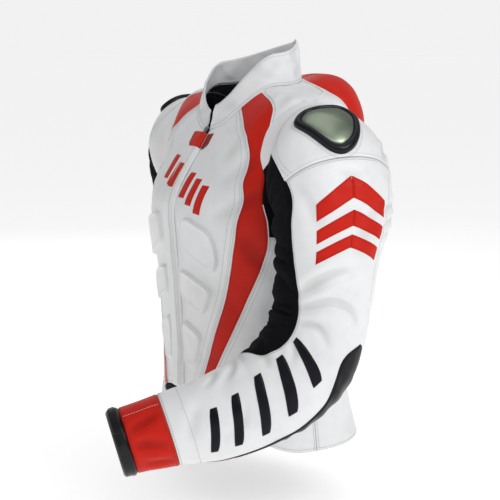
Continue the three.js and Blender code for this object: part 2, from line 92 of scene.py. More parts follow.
# Station t, centre x, y and z, turn down, bend forward, turn inward, half height and half depth.
ARMS = {
    "left": [
        [0.0, 178, 8, -146, 0, 0, 0, 80, 65],
        [0.5, 214, 3, -153, 18, 0, 0, 83, 86],
        [1.0, 239, 3, -180, 45, 0, 0, 72, 87],
        [1.6, 250, -1, -222, 70, 0, 0, 64, 84],
        [2.4, 254, -11, -276, 77, 0, 0, 62, 73],
        [3.2, 255, -20, -328, 80, 5, 2, 60, 67],
        [3.8, 256, -30, -370, 80, 24, 6, 60, 67],
        [4.3, 252, -52, -411, 80, 48, 12, 61, 67],
        [4.8, 240, -90, -445, 80, 65, 18, 60, 65],
        [5.6, 218, -152, -478, 80, 71, 20, 56, 59],
        [6.4, 196, -213, -494, 80, 73, 20, 49, 52],
        [7.0, 178, -262, -507, 80, 74, 20, 44, 46],
        [7.4, 168, -290, -514, 80, 74, 20, 41, 43],
    ],
    "right": [
        [0.0, 178, 8, -146, 0, 0, 0, 80, 65],
        [0.5, 213, 13, -153, 18, 0, 0, 83, 81],
        [1.0, 238, 24, -180, 45, -2, 0, 72, 81],
        [1.6, 248, 34, -221, 70, -4, 0, 64, 78],
        [2.4, 251, 41, -276, 80, -6, 0, 60, 72],
        [3.2, 252, 45, -329, 86, -4, 0, 60, 67],
        [3.8, 251, 47, -370, 90, -1, 0, 60, 65],
        [4.3, 249, 47, -405, 93, 5, 0, 60, 63],
        [4.8, 246, 42, -438, 95, 12, 0, 59, 61],
        [5.6, 239, 28, -503, 96, 15, 0, 55, 56],
        [6.4, 231, 9, -568, 96, 16, 0, 49, 51],
        [7.0, 226, -5, -614, 96, 16, 0, 43, 46],
        [7.4, 223, -14, -645, 96, 16, 0, 41, 44],
    ],
}
ARMHOLE_Y, ARMHOLE_Z, ARMHOLE_DEPTH, ARMHOLE_TOP, ARMHOLE_BOTTOM = 8, -146, 68, 85, 86
# The red stripe's two edges: level, inner angle, outer angle.
STRIPE = [
    [0.00, 14, 22], [0.10, 22, 29], [0.22, 30, 40], [0.38, 40, 54], [0.56, 47, 68], [0.64, 49, 68],
    [0.70, 50, 63], [0.75, 47, 62], [0.82, 47, 63], [0.87, 42, 60], [0.92, 38, 64], [1.00, 46, 70],
]
# The stretch panel's outer edge on the sleeve: station, angle. It closes on the inner seam.
STRETCH = [
    [0.1, 71], [0.6, 71], [0.9, 71], [1.3, 64], [1.7, 69], [2.3, 67], [2.9, 58], [3.5, 50], [4.0, 43],
    [4.4, 41], [4.65, 46], [4.85, 64], [5.0, 100], [5.1, 150], [7.4, 150],
]
INNER_SEAM = 150
SEAM_SIDE = 94
# Levels of the cross seams: the back's two, the gusset's two ends, the shoulder panel's lower end.
BACK_LINE, CHEST_LINE, GUSSET_LINE, GUSSET_TOP, SHOULDER_LINE = 0.6, 0.64, 0.605, 0.745, 0.868
# The hump: its first and last level, its side edges, its width in mm and the level of its cross seam.
HUMP_LOW, HUMP_HIGH, HUMP_SIDES, HUMP_WIDE, HUMP_SEAM = 0.575, 0.988, (156.0, 204.0), 150, 0.8
CUFF_START, BAND_START, SLEEVE_END = 6.515, 7.155, 7.4
HEAD_START, HEAD_JOIN, HEAD_END = -0.3, 0.14, 1.0
# Chest pads: angle and level of the corners: low inner, low outer, top outer, top inner; edge bulge.
PADS = [
    ([[6.5, 0.485], [33, 0.43], [31, 0.578], [10, 0.603]], 4.0),
    ([[5, 0.31], [24, 0.27], [32, 0.375], [5.5, 0.42]], 0.0),
    ([[5, 0.075], [14, 0.075], [22, 0.205], [5, 0.24]], 0.0),
]
ZIP_TOP = 0.997
FLAP_LEFT, FLAP_RIGHT, FLAP_UNDER, FLAP_THICK, FLAP_TOP = 16, 14, 6.2, 2.0, 0.955
PATCH_LOW = 0.872
# Distances from a panel's edge, in mm, at which its first columns stand; the last one carries the stitches.
EDGE_STEPS = np.array([0.0, 0.35, 0.8, 1.4, 2.2, 3.2])
# The elbow leaf's two stations, the cuff zip's angle and stations, and the stretch panel's upper angle and end.
LEAF_START, LEAF_END = 3.78, 6.1
ZIP_ANGLE, ZIP_START, ZIP_END = 214.0, 5.75, 7.05
STRETCH_ANGLE, STRETCH_END = 71.0, 5.09


# ---------------------------------------------------------------- curves and skins


def spline(rows, x):
    """Smooth curve through rows [position, values...]: cubic Hermite with central-difference slopes."""
    rows = np.asarray(rows, float)
    x = np.asarray(x, float)
    keys, values = rows[:, 0], rows[:, 1:]
    slope = np.empty_like(values)
    slope[1:-1] = (values[2:] - values[:-2]) / (keys[2:] - keys[:-2])[:, None]
    slope[0] = (values[1] - values[0]) / (keys[1] - keys[0])
    slope[-1] = (values[-1] - values[-2]) / (keys[-1] - keys[-2])
    i = np.clip(np.searchsorted(keys, x) - 1, 0, len(keys) - 2)
    h = (keys[i + 1] - keys[i])[..., None]
    s = (x[..., None] - keys[i][..., None]) / h
    return (
        (2 * s**3 - 3 * s**2 + 1) * values[i]
        + (s**3 - 2 * s**2 + s) * h * slope[i]
        + (3 * s**2 - 2 * s**3) * values[i + 1]
        + (s**3 - s**2) * h * slope[i + 1]
    )


def smooth(x, low, high):
    """Smooth step from 0 at low to 1 at high."""
    x = np.clip((x - low) / (high - low), 0, 1)
    return x * x * (3 - 2 * x)


def power(x, p):
    """Signed power."""
    return np.sign(x) * np.abs(x) ** p


def unit(v):
    """Vectors of length one along the last axis."""
    return v / np.maximum(np.linalg.norm(v, axis=-1, keepdims=True), 1e-9)


def mix(a, b, s):
    """Straight blend from a to b."""
    return a + (b - a) * s


def grid(columns, rows):
    """Two tables over rows and columns: the columns' values and the rows' values."""
    return columns[None] + 0 * rows[:, None], rows[:, None] + 0 * columns


def fixed(value):
    """An edge that keeps one angle at every level."""
    return lambda b: np.full_like(b, float(value))


def torso_point(u, v):
    """Superellipse ring at level v: x is w sin(u)^(2/n), y and z blend from the side to the front or back."""
    w, yf, zf, ys, zs, yb, zb, n = np.moveaxis(spline(TORSO, v), -1, 0)
    s, c = np.sin(np.radians(u)), np.cos(np.radians(u))
    depth = np.abs(c) ** (2 / n)
    front = c >= 0
    y = np.where(front, mix(ys, yf, depth), mix(ys, yb, depth))
    z = np.where(front, mix(zs, zf, c * c), mix(zs, zb, c * c))
    return np.stack([w * power(s, 2 / n), y, z], -1)


def angle_at(x, v):
    """Angle u where the torso's ring at level v is x from the middle, on the front."""
    rows = spline(TORSO, v)
    return np.degrees(np.arcsin(power(x / rows[..., 0], rows[..., 7] / 2)))


def arm_ring(rows, t):
    """Centre, side and front directions and half sizes of a sleeve's ring, from the splined frames."""
    rows = np.asarray(rows, float)
    down, fwd, yaw = np.radians(rows[:, 4]), np.radians(rows[:, 5]), np.radians(rows[:, 6])
    zero = np.zeros_like(down)
    along = np.stack([np.cos(down), zero, -np.sin(down)], -1)
    side = np.stack([np.sin(down), zero, np.cos(down)], -1)
    front = np.stack([zero, -np.cos(fwd), zero], -1) - along * np.sin(fwd)[:, None]

    def turned(p):
        c, s = np.cos(-yaw), np.sin(-yaw)
        return np.stack([c * p[:, 0] - s * p[:, 1], s * p[:, 0] + c * p[:, 1], p[:, 2]], -1)

    keyed = np.concatenate([rows[:, :4], turned(side), turned(front), rows[:, 7:9]], 1)
    p = spline(keyed, t)
    side = unit(p[..., 3:6])
    front = p[..., 6:9]
    front = unit(front - side * np.sum(front * side, -1, keepdims=True))
    return p[..., 0:3], side, front, p[..., 9], p[..., 10]


def sleeve_point(rows, angle, t):
    """Ring of exponent 2.15 round the arm's centre line."""
    centre, side, front, a, b = arm_ring(rows, t)
    round_off = 2 / 2.15
    across = a * power(np.cos(np.radians(angle)), round_off)
    ahead = b * power(np.sin(np.radians(angle)), round_off)
    return centre + side * across[..., None] + front * ahead[..., None]


def torso_at(y, z):
    """Angle and level of the torso's point at a given y and z on the wearer's left, by Newton steps."""
    u = np.full_like(y, 90.0)
    v = np.clip(0.64 + ((z + 232) / 170) * 0.27, 0.55, 0.96)
    for _ in range(24):
        p = torso_point(u, v)
        pu = (torso_point(u + 0.1, v) - p) * 10
        pv = (torso_point(u, v + 0.001) - p) * 1000
        det = pu[..., 1] * pv[..., 2] - pu[..., 2] * pv[..., 1]
        dy, dz = y - p[..., 1], z - p[..., 2]
        u = u + np.clip((pv[..., 2] * dy - pv[..., 1] * dz) / det, -12, 12)
        v = v + np.clip((pu[..., 1] * dz - pu[..., 2] * dy) / det, -0.05, 0.05)
    return u, v


def armhole(angle, grow):
    """The armhole's outline at an angle round the arm, as the torso's angle and level; grow widens it."""
    c, s = np.cos(np.radians(angle)), np.sin(np.radians(angle))
    tall = np.where(c > 0, ARMHOLE_TOP, ARMHOLE_BOTTOM)
    return torso_at(ARMHOLE_Y - (ARMHOLE_DEPTH + grow) * s, ARMHOLE_Z + (tall + grow) * c)


def armhole_edge(v, towards):
    """Angle of the armhole's edge at level v, on the front (-1) or the back (1), by bisection."""
    v = np.asarray(v, float)

    def inside(u):
        p = torso_point(u, v)
        tall = np.where(p[..., 2] > ARMHOLE_Z, ARMHOLE_TOP, ARMHOLE_BOTTOM)
        return ((p[..., 1] - ARMHOLE_Y) / ARMHOLE_DEPTH) ** 2 + ((p[..., 2] - ARMHOLE_Z) / tall) ** 2 < 1

    near, far = np.full_like(v, 90.0), np.full_like(v, 90.0 + towards * 60)
    for _ in range(26):
        middle = (near + far) / 2
        held = inside(middle)
        near, far = np.where(held, middle, near), np.where(held, far, middle)
    return np.where(inside(np.full_like(v, 90.0)), near, 90.0)


TOP_LEVEL = float(torso_at(np.array([ARMHOLE_Y * 1.0]), np.array([ARMHOLE_Z + ARMHOLE_TOP * 1.0]))[1][0])
ARMPIT_LEVEL = float(torso_at(np.array([ARMHOLE_Y * 1.0]), np.array([ARMHOLE_Z - ARMHOLE_BOTTOM * 1.0]))[1][0])


def stripe_inner(v):
    return spline(STRIPE, v)[..., 0]


def front_of_armhole(v):
    return np.where((v > ARMPIT_LEVEL) & (v < TOP_LEVEL), armhole_edge(v, -1), 90.0)


def stripe_edge(v):
    return np.minimum(spline(STRIPE, v)[..., 1], front_of_armhole(v))


def shoulder_seam(v):
    """The edge that the shoulder panel and the yoke share above the armhole."""
    return 90 + 62 * np.clip((v - TOP_LEVEL) / (1 - TOP_LEVEL), 0, 1) ** 0.8


def stretch_edge(t):
    return np.minimum(spline(STRETCH, t)[..., 0], INNER_SEAM)


def waves(p, seed, length, count=7):
    """Soft random relief of height about one: a sum of sines along seeded directions."""
    rng = np.random.default_rng(seed)
    total = np.zeros(p.shape[:-1])
    for _ in range(count):
        direction = unit(rng.normal(size=3)) / (length * rng.uniform(0.7, 1.5))
        total += np.sin(2 * np.pi * (p @ direction) + rng.uniform(0, 2 * np.pi))
    return total / math.sqrt(count)


def crease(points, path, depth, width):
    """A valley with soft shoulders along a path of points, fading towards both its ends."""
    nearest = np.full(points.shape[:-1], 1e9)
    share = np.zeros(points.shape[:-1])
    count = len(path) - 1
    for i in range(count):
        a, d = path[i], path[i + 1] - path[i]
        s = np.clip(((points - a) @ d) / max(d @ d, 1e-9), 0, 1)
        distance = np.linalg.norm(points - a - s[..., None] * d, axis=-1)
        closer = distance < nearest
        nearest = np.where(closer, distance, nearest)
        share = np.where(closer, (i + s) / count, share)
    x = nearest / width
    fade = np.sin(np.pi * np.clip(share, 0, 1)) ** 0.7
    return depth * fade * (0.55 * np.exp(-((x - 1.9) / 1.1) ** 2) - np.exp(-x * x))


class Skin:
    """A surface of two parameters sampled on a fine grid: points, normals and the relief of its folds."""

    def __init__(self, base, first, second, relief):
        self.first, self.second = first, second
        points = base(first[:, None] + 0 * second, 0 * first[:, None] + second)
        self.relief = relief(first[:, None] + 0 * second, 0 * first[:, None] + second, points)
        self.points = points + self.slope(points) * self.relief[..., None]
        self.normals = self.slope(self.points)

    def slope(self, points):
        """Outward normals: the cross product of the two central differences, the first one wrapped round."""
        around = np.roll(points, -1, 0) - np.roll(points, 1, 0)
        along = np.gradient(points, axis=1)
        return unit(np.cross(around, along))

    def read(self, table, a, b):
        """Bilinear look-up of a table at parameters a and b; the first parameter wraps round."""
        count = len(self.first)
        x = ((np.asarray(a, float) - self.first[0]) / (self.first[1] - self.first[0])) % count
        y = (np.asarray(b, float) - self.second[0]) / (self.second[1] - self.second[0])
        y = np.clip(y, 0, len(self.second) - 1.0001)
        i, j = np.floor(x).astype(int) % count, np.floor(y).astype(int)
        k = (i + 1) % count
        fx, fy = x - np.floor(x), y - np.floor(y)
        if table.ndim == 3:
            fx, fy = fx[..., None], fy[..., None]
        low = mix(table[i, j], table[k, j], fx)
        high = mix(table[i, j + 1], table[k, j + 1], fx)
        return mix(low, high, fy)

    def normal(self, a, b):
        return unit(self.read(self.normals, a, b))

    def at(self, a, b, off=0.0):
        """Point at parameters a and b, moved outward by off."""
        off = np.asarray(off, float)
        return self.read(self.points, a, b) + self.normal(a, b) * off[..., None]


# Folds of the leather: a path over the skin, how deep and how wide.
TORSO_FOLDS = [
    ([(62, 0.72), (46, 0.67), (30, 0.61)], 2.4, 12), ([(60, 0.83), (44, 0.78), (28, 0.73)], 1.7, 12),
    ([(74, 0.5), (60, 0.53), (47, 0.6)], 1.8, 14), ([(92, 0.34), (80, 0.38), (64, 0.38)], 1.9, 13),
    ([(92, 0.2), (79, 0.25), (62, 0.24)], 1.6, 12), ([(70, 0.08), (84, 0.12), (100, 0.1)], 1.6, 12),
    ([(86, 0.95), (74, 0.93), (62, 0.9)], 1.5, 9), ([(112, 0.52), (134, 0.47), (160, 0.5)], 2.6, 15),
    ([(108, 0.34), (132, 0.28), (158, 0.31)], 2.4, 16), ([(106, 0.14), (128, 0.17), (150, 0.13)], 2.0, 14),
    ([(122, 0.72), (138, 0.78), (150, 0.88)], 2.0, 13), ([(108, 0.9), (122, 0.86), (134, 0.8)], 1.6, 11),
    ([(166, 0.42), (180, 0.4), (196, 0.43)], 1.6, 14), ([(40, 0.93), (33, 0.86), (24, 0.82)], 1.4, 12),
]
ARM_FOLDS = {
    "left": [
        ([(60, 3.15), (40, 2.85), (18, 2.66), (-6, 2.6)], 3.0, 8.5),
        ([(54, 3.5), (34, 3.3), (12, 3.22), (-12, 3.34), (-30, 3.62)], 3.2, 7.5),
        ([(44, 3.85), (28, 3.78), (12, 3.84), (-4, 4.02)], 2.8, 6.5),
        ([(40, 4.2), (28, 4.3), (14, 4.5)], 2.0, 6.5),
        ([(66, 4.85), (46, 4.72), (28, 4.78)], 2.4, 7),
        ([(84, 5.15), (64, 5.22), (46, 5.4)], 2.4, 6), ([(88, 5.5), (66, 5.55), (50, 5.78)], 2.2, 6),
        ([(92, 5.9), (72, 6.0)], 1.4, 6), ([(-30, 1.45), (-14, 1.8), (-6, 2.4)], 1.8, 14),
        ([(-66, 1.42), (-48, 1.5), (-34, 1.62)], 2.6, 5), ([(-66, 1.62), (-50, 1.72), (-36, 1.88)], 2.4, 5),
        ([(-66, 1.84), (-50, 1.96), (-38, 2.1)], 2.0, 5), ([(58, 1.1), (44, 1.4), (34, 1.8)], 1.8, 12),
        ([(36, 6.56), (24, 6.85), (18, 7.12)], 2.0, 7), ([(-18, 6.6), (-8, 6.9), (-6, 7.12)], 1.8, 8),
        ([(-50, 6.56), (-42, 7.0)], 1.6, 7), ([(160, 4.3), (190, 4.05), (222, 3.85)], 3.4, 8),
        ([(156, 3.9), (184, 3.66), (214, 3.5)], 3.0, 8), ([(158, 4.7), (190, 4.5), (220, 4.3)], 2.8, 8),
        ([(236, 2.9), (262, 3.05), (284, 3.35)], 2.4, 9), ([(232, 2.2), (256, 2.3), (278, 2.1)], 2.2, 9),
        ([(170, 1.6), (196, 1.8), (226, 1.7)], 2.4, 9), ([(200, 5.4), (232, 5.5), (258, 5.8)], 2.0, 10),
        ([(10, 5.2), (-14, 5.4), (-30, 5.8)], 1.5, 12), ([(30, 5.9), (6, 6.1), (-20, 6.3)], 1.4, 10),
        ([(20, 1.12), (0, 1.2), (-18, 1.14)], 1.3, 8), ([(-70, 0.7), (-52, 0.78), (-40, 0.95)], 2.0, 6),
    ],
    "right": [
        ([(60, 3.2), (28, 3.3), (-10, 3.15), (-40, 3.25)], 3.0, 9),
        ([(50, 3.7), (16, 3.8), (-24, 3.62)], 3.2, 8), ([(46, 4.2), (10, 4.15), (-30, 4.3)], 2.8, 8),
        ([(60, 4.9), (30, 4.75), (0, 4.85)], 2.2, 9), ([(80, 5.5), (50, 5.6), (24, 5.9)], 2.0, 9),
        ([(-30, 1.5), (-12, 1.85), (-6, 2.4)], 1.8, 14), ([(58, 1.1), (44, 1.4), (34, 1.8)], 1.8, 12),
        ([(230, 3.0), (262, 3.15), (290, 3.0)], 2.8, 9), ([(224, 3.6), (258, 3.75), (292, 3.6)], 3.0, 9),
        ([(222, 4.2), (252, 4.3), (280, 4.1)], 2.8, 9), ([(232, 2.1), (260, 2.25), (284, 2.1)], 2.2, 9),
        ([(160, 3.9), (190, 4.1), (216, 3.95)], 2.6, 9), ([(170, 1.6), (196, 1.8), (226, 1.7)], 2.4, 9),
        ([(36, 6.56), (24, 6.85), (18, 7.12)], 2.0, 7), ([(-18, 6.6), (-8, 6.9), (-6, 7.12)], 1.8, 8),
        ([(200, 5.2), (236, 5.3), (262, 5.6)], 2.0, 10), ([(20, 5.2), (-14, 5.35), (-36, 5.2)], 1.6, 12),
        ([(-70, 0.7), (-52, 0.78), (-40, 0.95)], 2.0, 6), ([(20, 1.12), (0, 1.2), (-18, 1.14)], 1.3, 8),
    ],
}


def densified(path, count=14):
    """The path's points and smooth points between them, as an array of pairs."""
    path = np.asarray(path, float)
    rows = np.concatenate([np.arange(len(path))[:, None], path], 1)
    return spline(rows, np.linspace(0, len(path) - 1, count))


def torso_relief(u, v, points):
    """Folds on both sides of the body, the back's pleats and a soft waviness."""
    relief = 0.55 * waves(points, 11, 95) + 0.25 * waves(points, 12, 38)
    for path, depth, width in TORSO_FOLDS:
        for sign, slip in ((1, 0.0), (-1, 0.014)):
            p = densified(path)
            relief += crease(points, torso_point(sign * p[:, 0], p[:, 1] + slip), depth, width)
    return relief * smooth(v, -0.02, 0.05)


def arm_base(side):
    """The sleeve's skin. Before HEAD_JOIN it is a Hermite bridge from under the armhole's edge."""
    rows = ARMS[side]

    def base(angle, t):
        free = sleeve_point(rows, angle, np.maximum(t, HEAD_JOIN))
        u, v = armhole(angle[:, 0], 7.0)
        u1, v1 = armhole(angle[:, 0], 1.0)
        start, near = torso_point(u, v), torso_point(u1, v1)
        sunk = torso_point(u + 0.5, v) - torso_point(u - 0.5, v)
        rise = torso_point(u, v + 0.004) - torso_point(u, v - 0.004)
        start = start - 3.2 * unit(np.cross(sunk, rise))
        join = np.full_like(angle[:, 0], HEAD_JOIN)
        end = sleeve_point(rows, angle[:, 0], join)
        ahead = (sleeve_point(rows, angle[:, 0], join + 0.02) - end) / 0.02
        span = np.linalg.norm(end - start, axis=-1, keepdims=True)
        leave = unit(near - start) * span * 1.1
        arrive = unit(ahead) * span * 0.9
        h = np.clip((t - HEAD_START) / (HEAD_JOIN - HEAD_START), 0, 1)[..., None]
        bridge = (
            (2 * h**3 - 3 * h**2 + 1) * start[:, None]
            + (h**3 - 2 * h**2 + h) * leave[:, None]
            + (3 * h**2 - 2 * h**3) * end[:, None]
            + (h**3 - h**2) * arrive[:, None]
        )
        return np.where(t[..., None] < HEAD_JOIN, bridge, free)

    return base


def arm_relief(side):
    """Folds of one sleeve, the stretch panel's gathers and a soft waviness."""
    rows, seed = ARMS[side], {"left": 31, "right": 47}[side]

    def relief(angle, t, points):
        total = 0.6 * waves(points, seed, 80) + 0.3 * waves(points, seed + 1, 34)
        for path, depth, width in ARM_FOLDS[side]:
            p = densified(path)
            total += crease(points, sleeve_point(rows, p[:, 0], p[:, 1]), 1.35 * depth, 0.92 * width)
        edge = stretch_edge(t)
        inside = smooth(angle, edge + 1, edge + 14) * (1 - smooth(angle, 136, 149))
        inside = inside * smooth(t, 0.35, 0.9) * (1 - smooth(t, 4.7, 5.05))
        sway = 0.35 * np.sin(np.radians(angle * 3 + 40 * t)) + 0.3 * np.sin(t * 5.1 + np.radians(angle))
        lump = 0.5 + 0.5 * np.sin(2 * np.pi * (t / 1.13 + 0.2 * np.sin(t * 3.7)))
        gather = np.abs(np.sin(np.pi * (t / 0.46 + sway))) ** 0.8 * (0.45 + 0.75 * lump)
        ripple = np.sin(2 * np.pi * (t / 0.21 - 0.8 * sway) + np.radians(4 * angle)) * (0.3 + 0.5 * (1 - lump))
        bulge = 3.4 * np.exp(-(((t - 4.35) / 0.3) ** 2))
        total += inside * (4.8 * gather + 0.6 * ripple - 2.4 + bulge)
        return total * smooth(t, -0.1, 0.2)

    return relief


TORSO_SKIN = Skin(torso_point, np.arange(0, 360, 0.5), np.linspace(0, 1, 401), torso_relief)
ARM_SKIN = {
    side: Skin(arm_base(side), np.arange(0, 360, 1.0), np.linspace(HEAD_START, SLEEVE_END, 480), arm_relief(side))
    for side in SIDES
}


def mirrored(points, side):
    """Turns a shape worked out on the wearer's left into the right one."""
    return points * np.array([-1.0, 1.0, 1.0]) if side == "right" else points


def elbow_points(side):
    """Where the elbow's bend starts and ends on the arm's centre line, in metres."""
    centres = mirrored(arm_ring(ARMS[side], np.array([3.3, 4.75]))[0], side) * MM
    return tuple(centres[0]), tuple(centres[1])


HINGES = {}
for _side in SIDES:
    _sign = 1 if _side == "left" else -1
    HINGES["shoulder_" + _side] = (
        "torso", "upper_arm_" + _side, (_sign * 0.155, 0.008, -0.146), (_sign * 0.188, 0.008, -0.146),
    )
    HINGES["elbow_" + _side] = ("upper_arm_" + _side, "forearm_" + _side, *elbow_points(_side))


# ---------------------------------------------------------------- meshes


def build(name, points, faces, looks, hold, slot, face_looks=None, marks=None):
    """Puts points (mm) and arrays of triangles or quads into a mesh, faces outward, and attaches it to its body;
    a piece held by a hinge only has its transform baked.

    looks holds keys of the jacket's materials, hold a body or a hinge; slot is not used.
    """
    points = np.asarray(points, float).reshape(-1, 3)
    faces = [np.asarray(f, int) for f in faces if len(f)]
    volume = 0.0
    for f in faces:
        for k in range(1, f.shape[1] - 1):
            a, b, c = points[f[:, 0]], points[f[:, k]], points[f[:, k + 1]]
            volume += float(np.sum(a * np.cross(b, c)))
    if volume < 0:
        faces = [f[:, ::-1] for f in faces]
    mesh = bpy.data.meshes.new(name)
    mesh.vertices.add(len(points))
    mesh.vertices.foreach_set("co", (points * MM).astype(np.float32).ravel())
    loops = np.concatenate([f.ravel() for f in faces])
    sizes = np.concatenate([np.full(len(f), f.shape[1]) for f in faces])
    mesh.loops.add(len(loops))
    mesh.loops.foreach_set("vertex_index", loops.astype(np.int32))
    mesh.polygons.add(len(sizes))
    mesh.polygons.foreach_set("loop_start", (np.cumsum(sizes) - sizes).astype(np.int32))
    if face_looks is not None:
        mesh.polygons.foreach_set("material_index", np.asarray(face_looks, np.int32))
    mesh.polygons.foreach_set("use_smooth", np.ones(len(sizes), bool))
    mesh.update(calc_edges=True)
    for key, values in (marks or {}).items():
        mark = mesh.attributes.new(key, "FLOAT", "POINT")
        mark.data.foreach_set("value", np.asarray(values, np.float32).ravel())
    for key in looks:
        mesh.materials.append(look(key))
    piece = bpy.data.objects.new(name, mesh)
    bpy.context.scene.collection.objects.link(piece)
    if hold in HINGES:
        a, b, start, end = HINGES[hold]
        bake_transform(piece)
    else:
        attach(piece, hold)
    return piece


def strip(rows, wrap):
    """Quads between neighbouring rows of an index table; wrap joins the last column to the first."""
    right = np.roll(rows, -1, 1) if wrap else rows[:, 1:]
    left = rows if wrap else rows[:, :-1]
    return np.stack([left[:-1], right[:-1], right[1:], left[1:]], -1).reshape(-1, 4)


def slab(name, top, bottom, looks, hold, slot, wrap=False, marks=None, node=None):
    """A closed slab between two grids of points (rows, columns, xyz): two faces and the walls round them."""
    rows, columns = top.shape[:2]
    count = rows * columns
    upper = np.arange(count).reshape(rows, columns)
    lower = upper + count
    outside = strip(upper, wrap)
    inside = strip(lower, wrap)[:, ::-1]
    ends = [strip(np.stack([lower[0], upper[0]]), wrap), strip(np.stack([upper[-1], lower[-1]]), wrap)]
    if not wrap:
        ends.append(strip(np.stack([upper[:, 0], lower[:, 0]]), False))
        ends.append(strip(np.stack([lower[:, -1], upper[:, -1]]), False))
    walls = np.concatenate(ends)
    points = np.concatenate([top.reshape(-1, 3), bottom.reshape(-1, 3)])
    kinds = np.concatenate([np.zeros(len(outside)), np.full(len(inside), len(looks) - 1), np.zeros(len(walls))])
    doubled = {key: np.concatenate([v.ravel(), v.ravel()]) for key, v in (marks or {}).items()}
    piece = build(name, points, [outside, inside, walls], looks, hold, slot, kinds, doubled)
    if node:
        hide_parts(*([node] if isinstance(node, str) else node))
    return piece


def cover(name, skin, a, b, top, bottom, looks, hold, slot, side="left", wrap=False, marks=None, node=None):
    """A closed slab of a skin at parameters a and b, between the offsets bottom and top."""
    faces = [mirrored(skin.at(a, b, off), side) for off in (top, bottom)]
    return slab(name, *faces, looks, hold, slot, wrap, marks, node)


def cap_fan(ring, pole):
    """Triangles from a closed ring of indices to a pole."""
    return np.stack([ring, np.roll(ring, -1), np.full_like(ring, pole)], -1)


def closed_tube(points, radius, sides, normals):
    """A round cord along a line of points: points and faces, its two ends closed with poles."""
    along = unit(np.gradient(points, axis=0))
    across = unit(np.cross(along, normals))
    up = np.cross(across, along)
    turn = np.linspace(0, 2 * np.pi, sides, endpoint=False)
    ring = np.cos(turn)[None, :, None] * across[:, None] + np.sin(turn)[None, :, None] * up[:, None]
    body = points[:, None] + ring * radius
    table = np.arange(body.size // 3).reshape(len(points), sides)
    poles = np.stack([points[0] - along[0] * radius * 0.6, points[-1] + along[-1] * radius * 0.6])
    every = np.concatenate([body.reshape(-1, 3), poles])
    first, last = len(every) - 2, len(every) - 1
    return every, strip(table, True), np.concatenate([cap_fan(table[0][::-1], first), cap_fan(table[-1], last)])


def joined(parts):
    """Several (points, quads, triangles) as one."""
    points, quads, triangles, base = [], [], [], 0
    for p, q, t in parts:
        points.append(p)
        quads.append(q + base)
        triangles.append(t + base)
        base += len(p)
    return np.concatenate(points), [np.concatenate(quads), np.concatenate(triangles)]


def oriented(parts):
    """Each part's own faces turned outward, by the sign of its volume."""
    result = []
    for p, q, t in parts:
        centre = p.mean(0)
        volume = 0.0
        for f in (q, t):
            for k in range(1, f.shape[1] - 1):
                a, b, c = (p[f[:, i]] - centre for i in (0, k, k + 1))
                volume += float(np.sum(a * np.cross(b, c)))
        result.append((p, q, t) if volume > 0 else (p, q[:, ::-1], t[:, ::-1]))
    return result


def resampled(line, pitch):
    """Points, directions and normals at even steps along a line of (points, normals)."""
    points, normals = line
    length = np.concatenate([[0], np.cumsum(np.linalg.norm(np.diff(points, axis=0), axis=1))])
    count = max(int(length[-1] / pitch), 2)
    at = (np.arange(count) + 0.5) * length[-1] / count
    place = np.stack([np.interp(at, length, points[:, k]) for k in range(3)], -1)
    normal = unit(np.stack([np.interp(at, length, normals[:, k]) for k in range(3)], -1))
    return place, unit(np.gradient(place, axis=0)), normal


SEWN = {}


def sew(hold, thread, *lines):
    """Notes lines of stitches, each (points, normals), by what they move with and the thread's colour."""
    SEWN.setdefault((hold, thread), []).extend(lines)


def spaced(length, step):
    """Shares from 0 to 1 along a length: close together at both ends and step apart between them."""
    scale = np.minimum(1.0, length / (4.2 * EDGE_STEPS[-1]))
    low = EDGE_STEPS[None] * (scale / length)[:, None]
    high = 1 - EDGE_STEPS[None, ::-1] * (scale / length)[:, None]
    count = max(int(np.max(length) / step), 2)
    inner = mix(low[:, -1:], high[:, :1], np.linspace(0, 1, count + 1)[None, 1:-1])
    return np.concatenate([low, inner, high], 1)


def arc(points, axis):
    """Length along an axis of a grid, from its start."""
    steps = np.linalg.norm(np.diff(points, axis=axis), axis=-1)
    pad = [(0, 0), (0, 0)]
    pad[axis] = (1, 0)
    return np.cumsum(np.pad(steps, pad), axis=axis)


